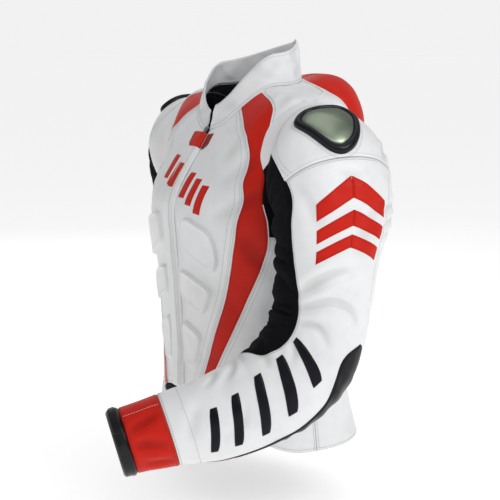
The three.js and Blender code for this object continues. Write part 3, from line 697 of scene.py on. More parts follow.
def panel(name, skin, left, right, levels, looks, hold, slot, side="left", threads=None, node=None):
    """A leather panel: a slab of the skin between the angles left(b) and right(b), over the levels (low, high).

    Rows and columns stand at fixed distances from the four edges, so that the edges roll down into the seams
    and the stitch lines keep their distance. threads names the thread on left, right, low and high.
    """
    step, thick, roll = mm("mesh_step"), mm("leather"), mm("seam_roll")
    low, high = levels
    probe = np.linspace(0, 1, 25)
    b = np.linspace(low, high, 24)
    angles = mix(left(b)[:, None], right(b)[:, None], probe[None])
    span = arc(skin.at(angles, b[:, None] + 0 * probe), 1)[:, -1]
    tall = arc(skin.at(mix(left(b), right(b), 0.5)[:, None], b[:, None]), 0)[-1:, 0]
    rows = mix(low, high, spaced(tall, step)[0])
    width = np.maximum(np.interp(rows, b, span), 0.8)
    s = spaced(width, step)
    a = mix(left(rows)[:, None], right(rows)[:, None], s)
    level = rows[:, None] + 0 * a
    across = s * width[:, None]
    along = arc(skin.at(a, level), 0)
    nearest = np.full(a.shape, 60.0)
    for gap in (across, width[:, None] - across, along, along[-1:] - along):
        nearest = np.minimum(nearest, gap)
    top = mirrored(skin.at(a, level, -roll * (1 - smooth(nearest, 0, 2.4))), side)
    bottom = mirrored(skin.at(a, level, -thick), side)
    normals = mirrored(skin.normal(a, level), side)
    # seam and fold drive the leather's painted shade: dark seam gaps, stitch grooves and fold valleys
    marks = {"seam": nearest, "fold": skin.read(skin.relief, a, level)}
    slab(name, top, bottom, looks, hold, slot, False, marks, node)
    mark = len(EDGE_STEPS) - 1
    picks = {"left": (slice(None), mark), "right": (slice(None), -1 - mark), "low": (mark,), "high": (-1 - mark,)}
    for key, thread in (threads or {}).items():
        line, normal = top[picks[key]], normals[picks[key]]
        keep = width > 9 if key in ("left", "right") else np.ones(len(line), bool)
        if keep.sum() > 3:
            sew(hold, thread, (line[keep] + normal[keep] * 0.1, normal[keep]))


def skin_line(skin, a, b, off, side="left"):
    """A line over a skin, as its points and normals."""
    return mirrored(skin.at(a, b, off), side), mirrored(skin.normal(a, b), side)


def piping(name, lines, radius, key, hold, slot, sides=8):
    """Thin round cords along several lines, as one piece."""
    points, faces = joined(oriented([closed_tube(p, radius, sides, n) for p, n in lines]))
    marks = {"seam": np.full(len(points), 20.0), "fold": np.full(len(points), 0.8)}
    return build(name, points, faces, [key], hold, slot, marks=marks)


def stitch_shape():
    """One stitch along x: a capsule of three rings of six points and two poles."""
    turn = np.linspace(0, 2 * np.pi, 6, endpoint=False)
    rings = [np.stack([0 * turn + x, r * np.cos(turn), r * np.sin(turn)], -1) for x, r in
             ((-0.36, 0.7), (0.0, 1.0), (0.36, 0.7))]
    points = np.concatenate([*rings, [[-0.5, 0, 0], [0.5, 0, 0]]])
    table = np.arange(18).reshape(3, 6)
    return points, strip(table, True), np.concatenate([cap_fan(table[0][::-1], 18), cap_fan(table[2], 19)])


def studded(name, places, directions, normals, scale, key, hold, slot):
    """Stitches or teeth as one piece: a capsule at each place, its x along the direction, z along the normal."""
    points, quads, triangles = stitch_shape()
    across = unit(np.cross(normals, directions))
    up = np.cross(directions, across)
    axes = np.stack([directions, across, up], 1)
    every = places[:, None] + np.einsum("kj,njc->nkc", points * np.asarray(scale), axes)
    base = (np.arange(len(places)) * len(points))[:, None, None]
    faces = (quads[None] + base).reshape(-1, 4), (triangles[None] + base).reshape(-1, 3)
    return build(name, every, faces, [key], hold, slot)


# ---------------------------------------------------------------- materials


class Wire:
    """A number socket of a material: arithmetic on it adds Math nodes."""

    def __init__(self, look, socket):
        self.look, self.socket = look, socket

    def math(self, operation, *others):
        return self.look.node("ShaderNodeMath", {"operation": operation}, dict(enumerate((self, *others))))

    def __add__(self, other):
        return self.math("ADD", other)

    def __mul__(self, other):
        return self.math("MULTIPLY", other)

    def __sub__(self, other):
        return self.math("SUBTRACT", other)

    def __rsub__(self, other):
        return self.look.node("ShaderNodeMath", {"operation": "SUBTRACT"}, {0: other, 1: self})

    def between(self, low, high):
        """Smooth step of the value from low to high."""
        settings = {"interpolation_type": "SMOOTHSTEP", "clamp": True}
        values = {"Value": self, "From Min": low, "From Max": high}
        return self.look.node("ShaderNodeMapRange", settings, values)


class Look:
    """A node material under construction round one Principled shader."""

    def __init__(self, name, **shader):
        self.material = bpy.data.materials.new(name)
        self.material.use_nodes = True
        self.tree = self.material.node_tree
        self.shader = self.tree.nodes["Principled BSDF"]
        self.set(**{key.replace("_", " "): value for key, value in shader.items()})
        self.place = self.node("ShaderNodeTexCoord", output="Object")

    def set(self, **values):
        """Gives sockets of the shader a number, a colour or a wire."""
        for key, value in values.items():
            self.plug(self.shader.inputs[key], value)

    def plug(self, socket, value):
        if isinstance(value, Wire):
            self.tree.links.new(value.socket, socket)
        elif socket.type == "RGBA" and len(value) == 3:
            socket.default_value = (*value, 1)
        else:
            socket.default_value = value

    def node(self, kind, settings=None, values=None, output=0):
        """Any node: its settings first, then its sockets by name or number; returns one output."""
        node = self.tree.nodes.new(kind)
        for key, value in (settings or {}).items():
            setattr(node, key, value)
        for key, value in (values or {}).items():
            self.plug(node.inputs[key], value)
        return Wire(self, node.outputs[output])

    def noise(self, scale, detail=2.0, vector=None):
        values = {"Vector": vector or self.place, "Scale": scale, "Detail": detail}
        return self.node("ShaderNodeTexNoise", None, values, "Fac")

    def cells(self, scale, feature="SMOOTH_F1"):
        values = {"Vector": self.place, "Scale": scale}
        return self.node("ShaderNodeTexVoronoi", {"feature": feature}, values, "Distance")

    def mark(self, name):
        return self.node("ShaderNodeAttribute", {"attribute_name": name}, None, "Fac")

    def blend(self, factor, a, b):
        """Mixes two colours by a factor."""
        settings = {"data_type": "RGBA", "blend_type": "MIX", "clamp_factor": True}
        return self.node("ShaderNodeMix", settings, {0: factor, 6: a, 7: b}, 2)

    def relief(self, height, distance, strength):
        """Bump from a height; distance is its depth in metres."""
        values = {"Height": height, "Distance": distance, "Strength": strength}
        return self.node("ShaderNodeBump", None, values, "Normal")


def leather(name, colour, shade, scuff, roughness, grain=0.35, shine=0.5):
    """Smooth pigmented leather: pebbled grain and pores, patchy tone, painted shade in the fold valleys and
    stitch grooves, painted shade and dirt in the seam gaps, scuffed rims.
    """
    look = Look(name, Coat_Roughness=0.25, Specular_IOR_Level=shine)
    patch = look.noise(9, 3)
    pebble = look.cells(640)
    fine = look.noise(1500, 2)
    vein = look.cells(210, "DISTANCE_TO_EDGE")
    tone = patch.between(0.35, 0.75) * 0.28 + look.noise(60, 3).between(0.4, 0.8) * 0.18
    height = pebble * 0.55 + fine * 0.35 + vein.between(0.0, 0.12) * 0.5
    seam, fold = look.mark("seam"), look.mark("fold")
    # valley: the fold troughs, darkened towards the shade colour as painted crease shade
    valley = 1 - fold.between(-2.6, 0.2)
    # gap: the first mm of every seam, painted dark as shade and dirt in the seam gap
    gap = 1 - seam.between(0.0, 1.1)
    # groove: the sunk stitch line 3.2 mm inside each edge, bumped and also darkened as painted shade
    groove = (1 - (seam - 3.2).math("ABSOLUTE").between(0.2, 0.9)) * seam.between(0.5, 2.0)
    # from here on tone holds the random tone plus the painted shade of the valleys and stitch grooves
    tone = (tone + valley * 0.55 + groove * 0.5).math("MINIMUM", 1.0)
    height = height - groove * 1.6 + look.noise(420, 4) * valley * 1.2
    rub = (1 - (seam - 1.6).math("ABSOLUTE").between(0.2, 1.2)) * look.noise(130, 4).between(0.55, 0.75)
    base = look.blend(rub * 0.45, look.blend(tone, colour, shade), scuff)
    # painted shade and dirt: the seam gaps blend towards a darker copy of the shade colour
    base = look.blend(gap * 0.8, base, tuple(0.35 * c for c in shade))
    rough = patch * 0.12 + roughness + rub * 0.15 - 0.06
    look.set(**{"Base Color": base, "Roughness": rough, "Normal": look.relief(height, 0.00022, grain)})
    return look.material


def knit(name, colour, shade, pitch=900, depth=0.0005, sheen=0.015, shine=0.07):
    """Stretch knit: a fine rib crossed by courses on the piece's own place, with fuzz."""
    look = Look(name, Sheen_Weight=sheen, Sheen_Roughness=0.5, Roughness=0.85, Specular_IOR_Level=shine)
    look.shader.inputs["Sheen Tint"].default_value = (0.5, 0.55, 0.7, 1)
    settings = {"wave_type": "BANDS", "bands_direction": "DIAGONAL"}
    warp = look.node("ShaderNodeTexWave", settings,
                     {"Vector": look.place, "Scale": pitch * 0.6, "Distortion": 1.2}, 1)
    weft = look.node("ShaderNodeTexWave", {"bands_direction": "Z"},
                     {"Vector": look.place, "Scale": pitch, "Distortion": 0.8}, 1)
    height = warp * 0.6 + weft * 0.6 + look.noise(2500, 2) * 0.4
    tone = height * 0.5 + look.noise(40, 3) * 0.5
    look.set(**{"Base Color": look.blend(tone, shade, colour), "Normal": look.relief(height, depth, 0.5)})
    return look.material


def rubber(name, colour, shade, roughness=0.22, coat=0.5, shine=0.3):
    """Glossy moulded rubber or patent leather: faint orange peel and smears."""
    look = Look(name, Coat_Weight=coat, Coat_Roughness=0.08, Specular_IOR_Level=shine)
    tone_noise = look.noise(45, 4)
    height = look.noise(900, 3) + look.noise(130, 2) * 0.8
    look.set(**{
        "Base Color": look.blend(tone_noise.between(0.35, 0.7), colour, shade),
        "Roughness": tone_noise.between(0.3, 0.8) * 0.16 + roughness,
        "Normal": look.relief(height, 0.0003, 0.35),
    })
    return look.material


def metal(name, colour, shade, roughness, brushed=0.0, scale=1.0):
    """Satin metal: brushed streaks along x, mottled tone and small scratches; at a coarse scale, as on the cup
    plate, the tone is one broad light-to-dark sweep of painted reflection.
    """
    look = Look(name, Metallic=1.0)
    streak = look.node("ShaderNodeMapping", None,
                       {"Vector": look.place, "Scale": (60 * scale, 60 * scale, 1400 * scale)})
    lines = look.noise(1.0, 3, vector=streak)
    # tone_noise: a fine mottle on the zips; on the cup plate a broad sweep between light and dark, painted
    # reflection
    tone_noise = look.noise(32 * scale, 3)
    look.set(**{
        "Base Color": look.blend(tone_noise.between(0.3, 0.72), colour, shade),
        "Roughness": lines * 0.14 + tone_noise * 0.1 + (roughness - 0.1),
        "Normal": look.relief(lines * brushed + look.noise(700, 3) * 0.4, 0.0002, 0.3),
    })
    return look.material


def thread(name, colour, shade):
    """Twisted thread: bands along its own place."""
    look = Look(name, Roughness=0.6, Sheen_Weight=0.2)
    twist = look.noise(2600, 1)
    look.set(**{"Base Color": look.blend(twist.between(0.35, 0.65), colour, shade),
                "Normal": look.relief(twist, 0.0002, 0.5)})
    return look.material


def plain_floor(name, colour):
    """Matt studio floor with a breath of unevenness."""
    look = Look(name, Roughness=0.9, Specular_IOR_Level=0.1, Emission_Color=(1, 1, 1), Emission_Strength=0.55)
    look.set(**{"Base Color": look.blend(look.noise(1.3, 2) * 0.15, colour, tuple(0.97 * c for c in colour))})
    return look.material


LOOKS = {}


def look(key):
    """The jacket's materials, made once from the finishes in the scene's settings."""
    if not LOOKS:
        f = bpy.context.scene.jacket_finish
        white, red, black = tuple(f.white), tuple(f.red), tuple(f.black)
        LOOKS.update({
            "white": leather("white_leather", white, (0.62, 0.63, 0.63), (0.64, 0.63, 0.6), f.leather_gloss),
            "white_soft": leather("white_collar_leather", white, (0.62, 0.64, 0.66), (0.6, 0.6, 0.6), 0.5, 0.3),
            "red": leather("red_leather", red, (0.36, 0.008, 0.004), (0.66, 0.06, 0.035), 0.42, 0.45,
                           shine=0.14),
            "red_dark": leather("red_flap_leather", (0.24, 0.012, 0.008), (0.15, 0.008, 0.006),
                                (0.4, 0.05, 0.03), 0.5),
            "black": leather("black_leather", black, (0.002, 0.002, 0.003), (0.02, 0.022, 0.03), 0.36, 0.4,
                             shine=0.22),
            "band": rubber("black_patent", (0.003, 0.003, 0.004), (0.006, 0.006, 0.008), 0.26, 0.18, 0.2),
            "bezel": rubber("rubber_bezel", (0.001, 0.001, 0.004), (0.003, 0.003, 0.008), 0.18, 0.2, 0.15),
            "mark_black": rubber("raised_black_mark", (0.002, 0.002, 0.005), (0.004, 0.004, 0.009), 0.3, 0.05,
                                 0.15),
            "knit": knit("stretch_knit", (0.006, 0.006, 0.008), (0.002, 0.002, 0.003)),
            "lining": knit("mesh_lining", (0.05, 0.05, 0.055), (0.02, 0.02, 0.024), 420, 0.0006, 0.1),
            "collar_lining": knit("collar_lining", (0.78, 0.79, 0.8), (0.68, 0.69, 0.7), 520, 0.0003, 0.1),
            # the plate's light and dark colours, spread by a coarse noise, paint its reflection gradient
            "plate": metal("satin_plate", (0.30, 0.35, 0.27), (0.09, 0.11, 0.085), 0.28, 0.25, 0.3),
            "zip": metal("zip_metal", (0.52, 0.53, 0.54), (0.3, 0.3, 0.31), 0.32, 0.3, 3.0),
            "teeth": metal("zip_teeth", (0.3, 0.3, 0.31), (0.12, 0.12, 0.125), 0.36, 0.2, 3.0),
            "tape": knit("zip_tape", (0.02, 0.02, 0.022), (0.008, 0.008, 0.009), 700, 0.0003, 0.1),
            "thread_white": thread("white_thread", (0.5, 0.5, 0.5), (0.34, 0.34, 0.34)),
            "thread_pale": thread("pale_thread", (0.8, 0.8, 0.78), (0.6, 0.6, 0.58)),
            "thread_red": thread("red_thread", (0.32, 0.02, 0.012), (0.2, 0.012, 0.008)),
            "thread_black": thread("black_thread", (0.02, 0.02, 0.024), (0.01, 0.01, 0.012)),
        })
    return LOOKS[key]


# ---------------------------------------------------------------- operators


class JacketSizes(bpy.types.PropertyGroup):
    """Sizes that a user may change."""

    leather: FloatProperty(name="Leather", description="Thickness of a leather panel", default=0.0028,
                           min=0.001, max=0.005, unit="LENGTH")
    seam_roll: FloatProperty(name="Seam roll", description="How far a panel's edge rolls down into its seam",
                             default=0.001, min=0.0, max=0.002, unit="LENGTH")
    stitch_pitch: FloatProperty(name="Stitch pitch", description="Distance from one stitch to the next",
                                default=0.0036, min=0.002, max=0.01, unit="LENGTH")
    thread: FloatProperty(name="Thread", description="Radius of the sewing thread", default=0.0004,
                          min=0.0002, max=0.001, unit="LENGTH")
    pad_height: FloatProperty(name="Pad height", description="How far a chest pad stands out of the panel",
                              default=0.0062, min=0.001, max=0.008, unit="LENGTH")
    hump_height: FloatProperty(name="Hump height", description="How far the hump stands off the back",
                               default=0.047, min=0.01, max=0.05, unit="LENGTH")
    collar_height: FloatProperty(name="Collar height", description="Height of the collar at the sides",
                                 default=0.045, min=0.02, max=0.06, unit="LENGTH")
    mesh_step: FloatProperty(name="Mesh step", description="Distance between the columns of a panel's mesh",
                             default=0.0036, min=0.002, max=0.01, unit="LENGTH")


class JacketFinish(bpy.types.PropertyGroup):
    """Colours and gloss that a user may change."""

    white: FloatVectorProperty(name="White leather", description="Colour of the white leather", size=3,
                               subtype="COLOR", default=(0.80, 0.81, 0.82), min=0, max=1)
    red: FloatVectorProperty(name="Red leather", description="Colour of the red leather", size=3,
                             subtype="COLOR", default=(0.58, 0.016, 0.007), min=0, max=1)
    black: FloatVectorProperty(name="Black leather", description="Colour of the black leather", size=3,
                               subtype="COLOR", default=(0.005, 0.005, 0.008), min=0, max=1)
    leather_gloss: FloatProperty(name="Leather roughness", description="Roughness of the white leather",
                                 default=0.4, min=0, max=1, subtype="FACTOR")
    key_light: FloatProperty(name="Key light", description="Strength of the main light", default=26.0,
                             min=0, unit="POWER")


def mm(name):
    """A size from the scene's settings, in millimetres."""
    return getattr(bpy.context.scene.jacket_sizes, name) / MM


def white_seams(*edges):
    """White thread on the named edges of a panel."""
    return dict.fromkeys(edges, "thread_white")


ALL_SEAMS = ("left", "right", "low", "high")
# A white panel's outer leather and the lining on its inner face.
LINED = ("white", "lining")


class JACKET_OT_front(bpy.types.Operator):
    """Builds the white leather panels of the front, the sides and the shoulders"""

    bl_idname = "jacket.front"
    bl_label = "Front and side panels"

    def execute(self, context):
        for side in SIDES:
            common = {"looks": LINED, "hold": "torso", "slot": "white_leather", "side": side}
            panel(f"front_leather_{side}", TORSO_SKIN, lambda v: angle_at(9.0, v), stripe_inner, (0.0, 1.0),
                  threads=white_seams("right", "low", "high"), node=f"front_panel_{side}", **common)
            side_end = lambda v: np.maximum(np.where(v < ARMPIT_LEVEL, SEAM_SIDE, front_of_armhole(v)),
                                            stripe_edge(v) + 0.3)
            panel(f"side_leather_{side}", TORSO_SKIN, stripe_edge, side_end, (0.0, GUSSET_LINE),
                  threads=white_seams(*ALL_SEAMS), node=f"side_panel_{side}", **common)
            panel(f"armhole_gusset_{side}", TORSO_SKIN, stripe_edge, side_end, (GUSSET_LINE, GUSSET_TOP),
                  ("knit", "lining"), "torso", "stretch_fabric", side)
            panel(f"shoulder_leather_{side}", TORSO_SKIN, lambda v: spline(STRIPE, v)[..., 1],
                  lambda v: np.maximum(np.where(v < TOP_LEVEL, armhole_edge(v, -1), shoulder_seam(v)),
                                       spline(STRIPE, v)[..., 1] + 0.3), (SHOULDER_LINE, 1.0),
                  threads=white_seams("left", "right", "high"), node=f"shoulder_panel_{side}", **common)
            v = np.linspace(0.02, 0.99, 260)
            for inset in (2.2, 5.4):
                sew("torso", "thread_white", skin_line(TORSO_SKIN, stripe_inner(v) - inset, v, 0.1, side))
            v = np.linspace(0.02, 0.6, 160)
            sew("torso", "thread_white", skin_line(TORSO_SKIN, stripe_edge(v) + 3.4, v, 0.1, side))
        return {"FINISHED"}


class JACKET_OT_stripes(bpy.types.Operator):
    """Builds the red stripes and the pale piping on their edges"""

    bl_idname = "jacket.stripes"
    bl_label = "Red stripes"

    def execute(self, context):
        for side in SIDES:
            panel(f"red_stripe_leather_{side}", TORSO_SKIN, stripe_inner, stripe_edge, (0.0, 1.0),
                  ("red", "lining"), "torso", "red_leather", side, {"low": "thread_red"}, f"red_stripe_{side}")
            v = np.linspace(0.002, 0.998, 420)
            lines = [skin_line(TORSO_SKIN, stripe_inner(v), v, -0.35, side)]
            low = np.linspace(0.002, 0.69, 300)
            lines.append(skin_line(TORSO_SKIN, stripe_edge(low), low, -0.35, side))
            high = np.linspace(0.875, 0.998, 60)
            lines.append(skin_line(TORSO_SKIN, spline(STRIPE, high)[..., 1], high, -0.35, side))
            piping(f"stripe_piping_{side}", lines, 0.85, "white", "torso", "white_leather")
        return {"FINISHED"}


class JACKET_OT_back(bpy.types.Operator):
    """Builds the back: the lower panel, the pleated stretch band and the yoke"""

    bl_idname = "jacket.back"
    bl_label = "Back panels"

    def execute(self, context):
        common = {"looks": LINED, "hold": "torso", "slot": "white_leather"}
        centre = lambda v: 152 - 16 * smooth(v, 0.0, 0.6)
        for side in SIDES:
            panel(f"back_side_leather_{side}", TORSO_SKIN, fixed(SEAM_SIDE), centre, (0.0, BACK_LINE), side=side,
                  threads=white_seams(*ALL_SEAMS), **common)
        panel("back_leather", TORSO_SKIN, centre, lambda v: 360 - centre(v), (0.0, BACK_LINE),
              threads=white_seams(*ALL_SEAMS), node="back_panel", **common)
        yoke = lambda v: np.where(v < TOP_LEVEL, armhole_edge(v, 1), shoulder_seam(v))
        panel("back_yoke_leather", TORSO_SKIN, yoke, lambda v: 360 - yoke(v), (CHEST_LINE, 1.0),
              threads=white_seams("low", "left", "right"), node="back_yoke", **common)
        self.pleats()
        v = np.linspace(TOP_LEVEL, 0.998, 80)
        for side in SIDES:
            piping(f"yoke_welt_{side}", [skin_line(TORSO_SKIN, shoulder_seam(v), v, 0.5, side)], 1.9,
                   "white", "torso", "white_leather", 10)
        return {"FINISHED"}

    def pleats(self):
        """The stretch band: five rounded pleats across the back, |sin| to the power 0.6 of the level."""
        u = np.linspace(SEAM_SIDE + 0.1, 360 - SEAM_SIDE - 0.1, 240)
        v = np.linspace(BACK_LINE + 0.0005, CHEST_LINE - 0.0005, 61)
        share = (v - v[0]) / (v[-1] - v[0])
        fade = smooth(np.minimum(u - SEAM_SIDE, 360 - SEAM_SIDE - u), 0, 8)
        off = (np.abs(np.sin(5 * np.pi * share)) ** 0.6)[:, None] * (0.8 + 2.4 * fade)[None] - 1.4
        # fold follows the pleats, so the leather paints shade into their troughs
        marks = {"seam": 20 + 0 * off, "fold": off - 1.2}
        cover("back_stretch_pleats", TORSO_SKIN, *grid(u, v), off, -mm("leather"), LINED, "torso",
              "white_leather", marks=marks, node="back_stretch")


class JACKET_OT_collar(bpy.types.Operator):
    """Builds the standing collar, its lining and its edge"""

    bl_idname = "jacket.collar"
    bl_label = "Collar"
    # Angle round the neck and the collar's height there: it peaks behind the left ear and lies low on the right.
    tall = [[0, 33], [60, 43], [110, 49], [136, 54], [150, 58.5], [164, 53], [180, 49], [215, 42], [260, 35],
            [310, 29], [360, 26]]

    def point(self, u, h):
        """The collar's skin: the neck ring carried up by its height and drawn in by h; execute adds its soft
        creases.
        """
        base = torso_point(u, np.ones_like(u))
        tall = spline(self.tall, u)[..., 0] * mm("collar_height") / 45
        lean = np.stack([1 - 0.08 * h, 1 - 0.11 * h, np.ones_like(h)], -1)
        p = base * lean
        p[..., 2] += 0.4 + tall * h
        return p

    def execute(self, context):
        count, rows = 300, 22
        h = np.linspace(0, 1, rows)
        s = np.linspace(0, 1, count)
        gap = 3.2 + 1.8 * h
        u = mix(gap[:, None], 360 - gap[:, None], s[None])
        hh = h[:, None] + 0 * s
        p = self.point(u, hh)
        pu = self.point(u + 0.5, hh) - self.point(u - 0.5, hh)
        ph = self.point(u, hh + 0.01) - self.point(u, hh - 0.01)
        normal = unit(np.cross(pu, ph))
        dent = 1.3 * waves(p * np.array([1, 1, 0.35]), 5, 48) + 0.7 * waves(p, 6, 22)
        dent = dent * smooth(h, 0.0, 0.3)[:, None] * (1 - 0.5 * smooth(h, 0.8, 1.0))[:, None]
        end = np.minimum(s, 1 - s) * 560
        rim = np.minimum(end[None], ((1 - h) * mm("collar_height"))[:, None])
        round_off = 1.3 * (1 - np.sqrt(np.clip(smooth(rim, 0, 2.6), 0, 1)))
        outer = p + normal * (dent - round_off)[..., None]
        inner = p + normal * (dent - 3.2 + round_off)[..., None]
        foot = (h * mm("collar_height"))[:, None] + 0 * end
        # fold follows the dents and seam nears the collar's foot and rims, where the leather paints shade
        marks = {"seam": np.minimum(foot, rim + 0.8), "fold": dent - 0.4}
        slab("collar_leather", outer, inner, ("white_soft", "collar_lining"), "torso", "white_leather",
             marks=marks, node="collar")
        for row in (2, rows - 3):
            sew("torso", "thread_white", (outer[row, 4:-4] + normal[row, 4:-4] * 0.1, normal[row, 4:-4]))
        seat = skin_line(TORSO_SKIN, np.linspace(5, 355, 400), np.full(400, 0.9985), -0.4)
        piping("collar_welt", [seat], 1.5, "white", "torso", "white_leather", 10)
        self.loop()
        return {"FINISHED"}

    def loop(self):
        """A hanger loop inside the back of the neck: a cord sagging between its two sewn ends."""
        s = np.linspace(-1, 1, 40)
        line = np.stack([26 * s, 62.0 - 3.0 * (1 - s * s), -16 - 16 * (1 - s * s)], -1)
        face = np.tile([0.0, -1.0, 0.0], (40, 1))
        piping("hanger_loop", [(line, face)], 1.8, "black", "torso", "black_leather", 10)


class JACKET_OT_hump(bpy.types.Operator):
    """Builds the padded hump behind the neck and the piping round it"""

    bl_idname = "jacket.hump"
    bl_label = "Back hump"

    def height(self, s, r):
        """Streamlined crown: it rises over the first half of its length and falls fast at the neck."""
        across = np.sin(np.pi * np.clip(s, 0, 1)) ** 0.62
        rise = np.sin(np.clip((r - HUMP_LOW) / 0.29, 0, 1) * np.pi / 2) ** 2
        fall = np.sin(np.clip((0.99 - r) / 0.1, 0, 1) * np.pi / 2)
        return mm("hump_height") * across * rise * fall

    def execute(self, context):
        s = np.sort(np.concatenate([np.linspace(0, 1, 91), [0.004, 0.012, 0.988, 0.996]]))
        v = np.linspace(HUMP_LOW, HUMP_HIGH, 130)
        u, vv = grid(mix(*HUMP_SIDES, s), v)
        lift = self.height(s[None] + 0 * vv, vv)
        groove = np.exp(-(((s - 0.5) * HUMP_WIDE / 2.2) ** 2))[None] * 1.3 * smooth(lift, 2, 14)
        pinch = np.exp(-(((v - HUMP_SEAM) / 0.007) ** 2))[:, None] * 1.6 * smooth(lift, 3, 12)
        base = TORSO_SKIN.at(u, vv)
        soft = 0.5 * waves(base, 71, 40) * smooth(lift, 2, 12)
        top = TORSO_SKIN.at(u, vv, lift - groove - pinch + soft - 0.6)
        bottom = TORSO_SKIN.at(u, vv, -1.6)
        edge = np.minimum(np.abs(s - 0.5) * HUMP_WIDE, 60)[None] + 0 * vv
        # fold dips in the crown's groove and at the cross seam's pinch, and seam nears the cross seam, so the
        # leather paints shade there
        marks = {"seam": np.minimum(edge, np.abs(vv - HUMP_SEAM) * 460) + 0.6, "fold": 1.0 - groove - pinch}
        piece = slab("hump_leather", top, bottom, ("red", "red"), "torso", "foam_hump", marks=marks,
                     node="aero_hump")
        lines = [skin_line(TORSO_SKIN, np.full(130, a), v, 0.4) for a in HUMP_SIDES]
        lines.append(skin_line(TORSO_SKIN, np.linspace(*HUMP_SIDES, 50), np.full(50, HUMP_LOW + 0.001), 0.4))
        piping("hump_piping", lines, 1.3, "white", "torso", "white_leather")
        for shift in (-3.2, 3.2):
            i = np.abs(s - 0.5 - shift / HUMP_WIDE).argmin()
            normal = TORSO_SKIN.normal(u[:, i], v)
            sew("torso", "thread_red", (top[12:-6, i] + normal[12:-6] * 0.1, normal[12:-6]))
        return {"FINISHED"}


class JACKET_OT_chest_pads(bpy.types.Operator):
    """Builds the embossed padded ribs on the chest and belly"""

    bl_idname = "jacket.chest_pads"
    bl_label = "Chest pads"

    def execute(self, context):
        tall = mm("pad_height")
        x = np.linspace(-1, 1, 61)
        fine = np.sign(x) * (1 - (1 - np.abs(x)) ** 1.25)
        s, r = ((share + 1) / 2 for share in grid(fine, fine))
        for side in SIDES:
            for i, (corners, bulge) in enumerate(PADS):
                low_in, low_out, top_out, top_in = np.asarray(corners, float)
                u, v = np.moveaxis(mix(mix(low_in, low_out, s[..., None]), mix(top_in, top_out, s[..., None]),
                                       r[..., None]), -1, 0)
                u = u + bulge * s * (1 - (2 * r - 1) ** 2)
                ring = (np.abs(2 * s - 1) ** 6 + np.abs(2 * r - 1) ** 6) ** (1 / 6)
                base = TORSO_SKIN.at(u, v)
                half = 0.5 * min(float(arc(base, 1)[30, -1]), float(arc(base, 0)[-1, 30]))
                depth = (1 - ring) * half
                rim = smooth(depth, 0.0, 3.3)
                dish = 0.9 * smooth(depth, 4.2, 8.5) * (1 - 0.8 * smooth(depth, 11, half))
                rise = tall * (0.9 * rim + 0.1 * smooth(depth, 2.0, 3.4))
                off = np.where(depth > 0, rise - dish, depth * 0.25) - 0.35
                # fold dips round the pad's foot, where the leather paints a thin band of shade
                marks = {"seam": 20 + 0 * depth, "fold": 0.8 - 2.4 * (1 - smooth(depth, 0.0, 1.3))}
                piece = cover(f"chest_rib_{side}_{i + 1}", TORSO_SKIN, u, v, off, np.minimum(off, 0) - 1.5, LINED,
                              "torso", "foam_pad", side, marks=marks, node=f"chest_pad_{side}_{i + 1}")
        return {"FINISHED"}


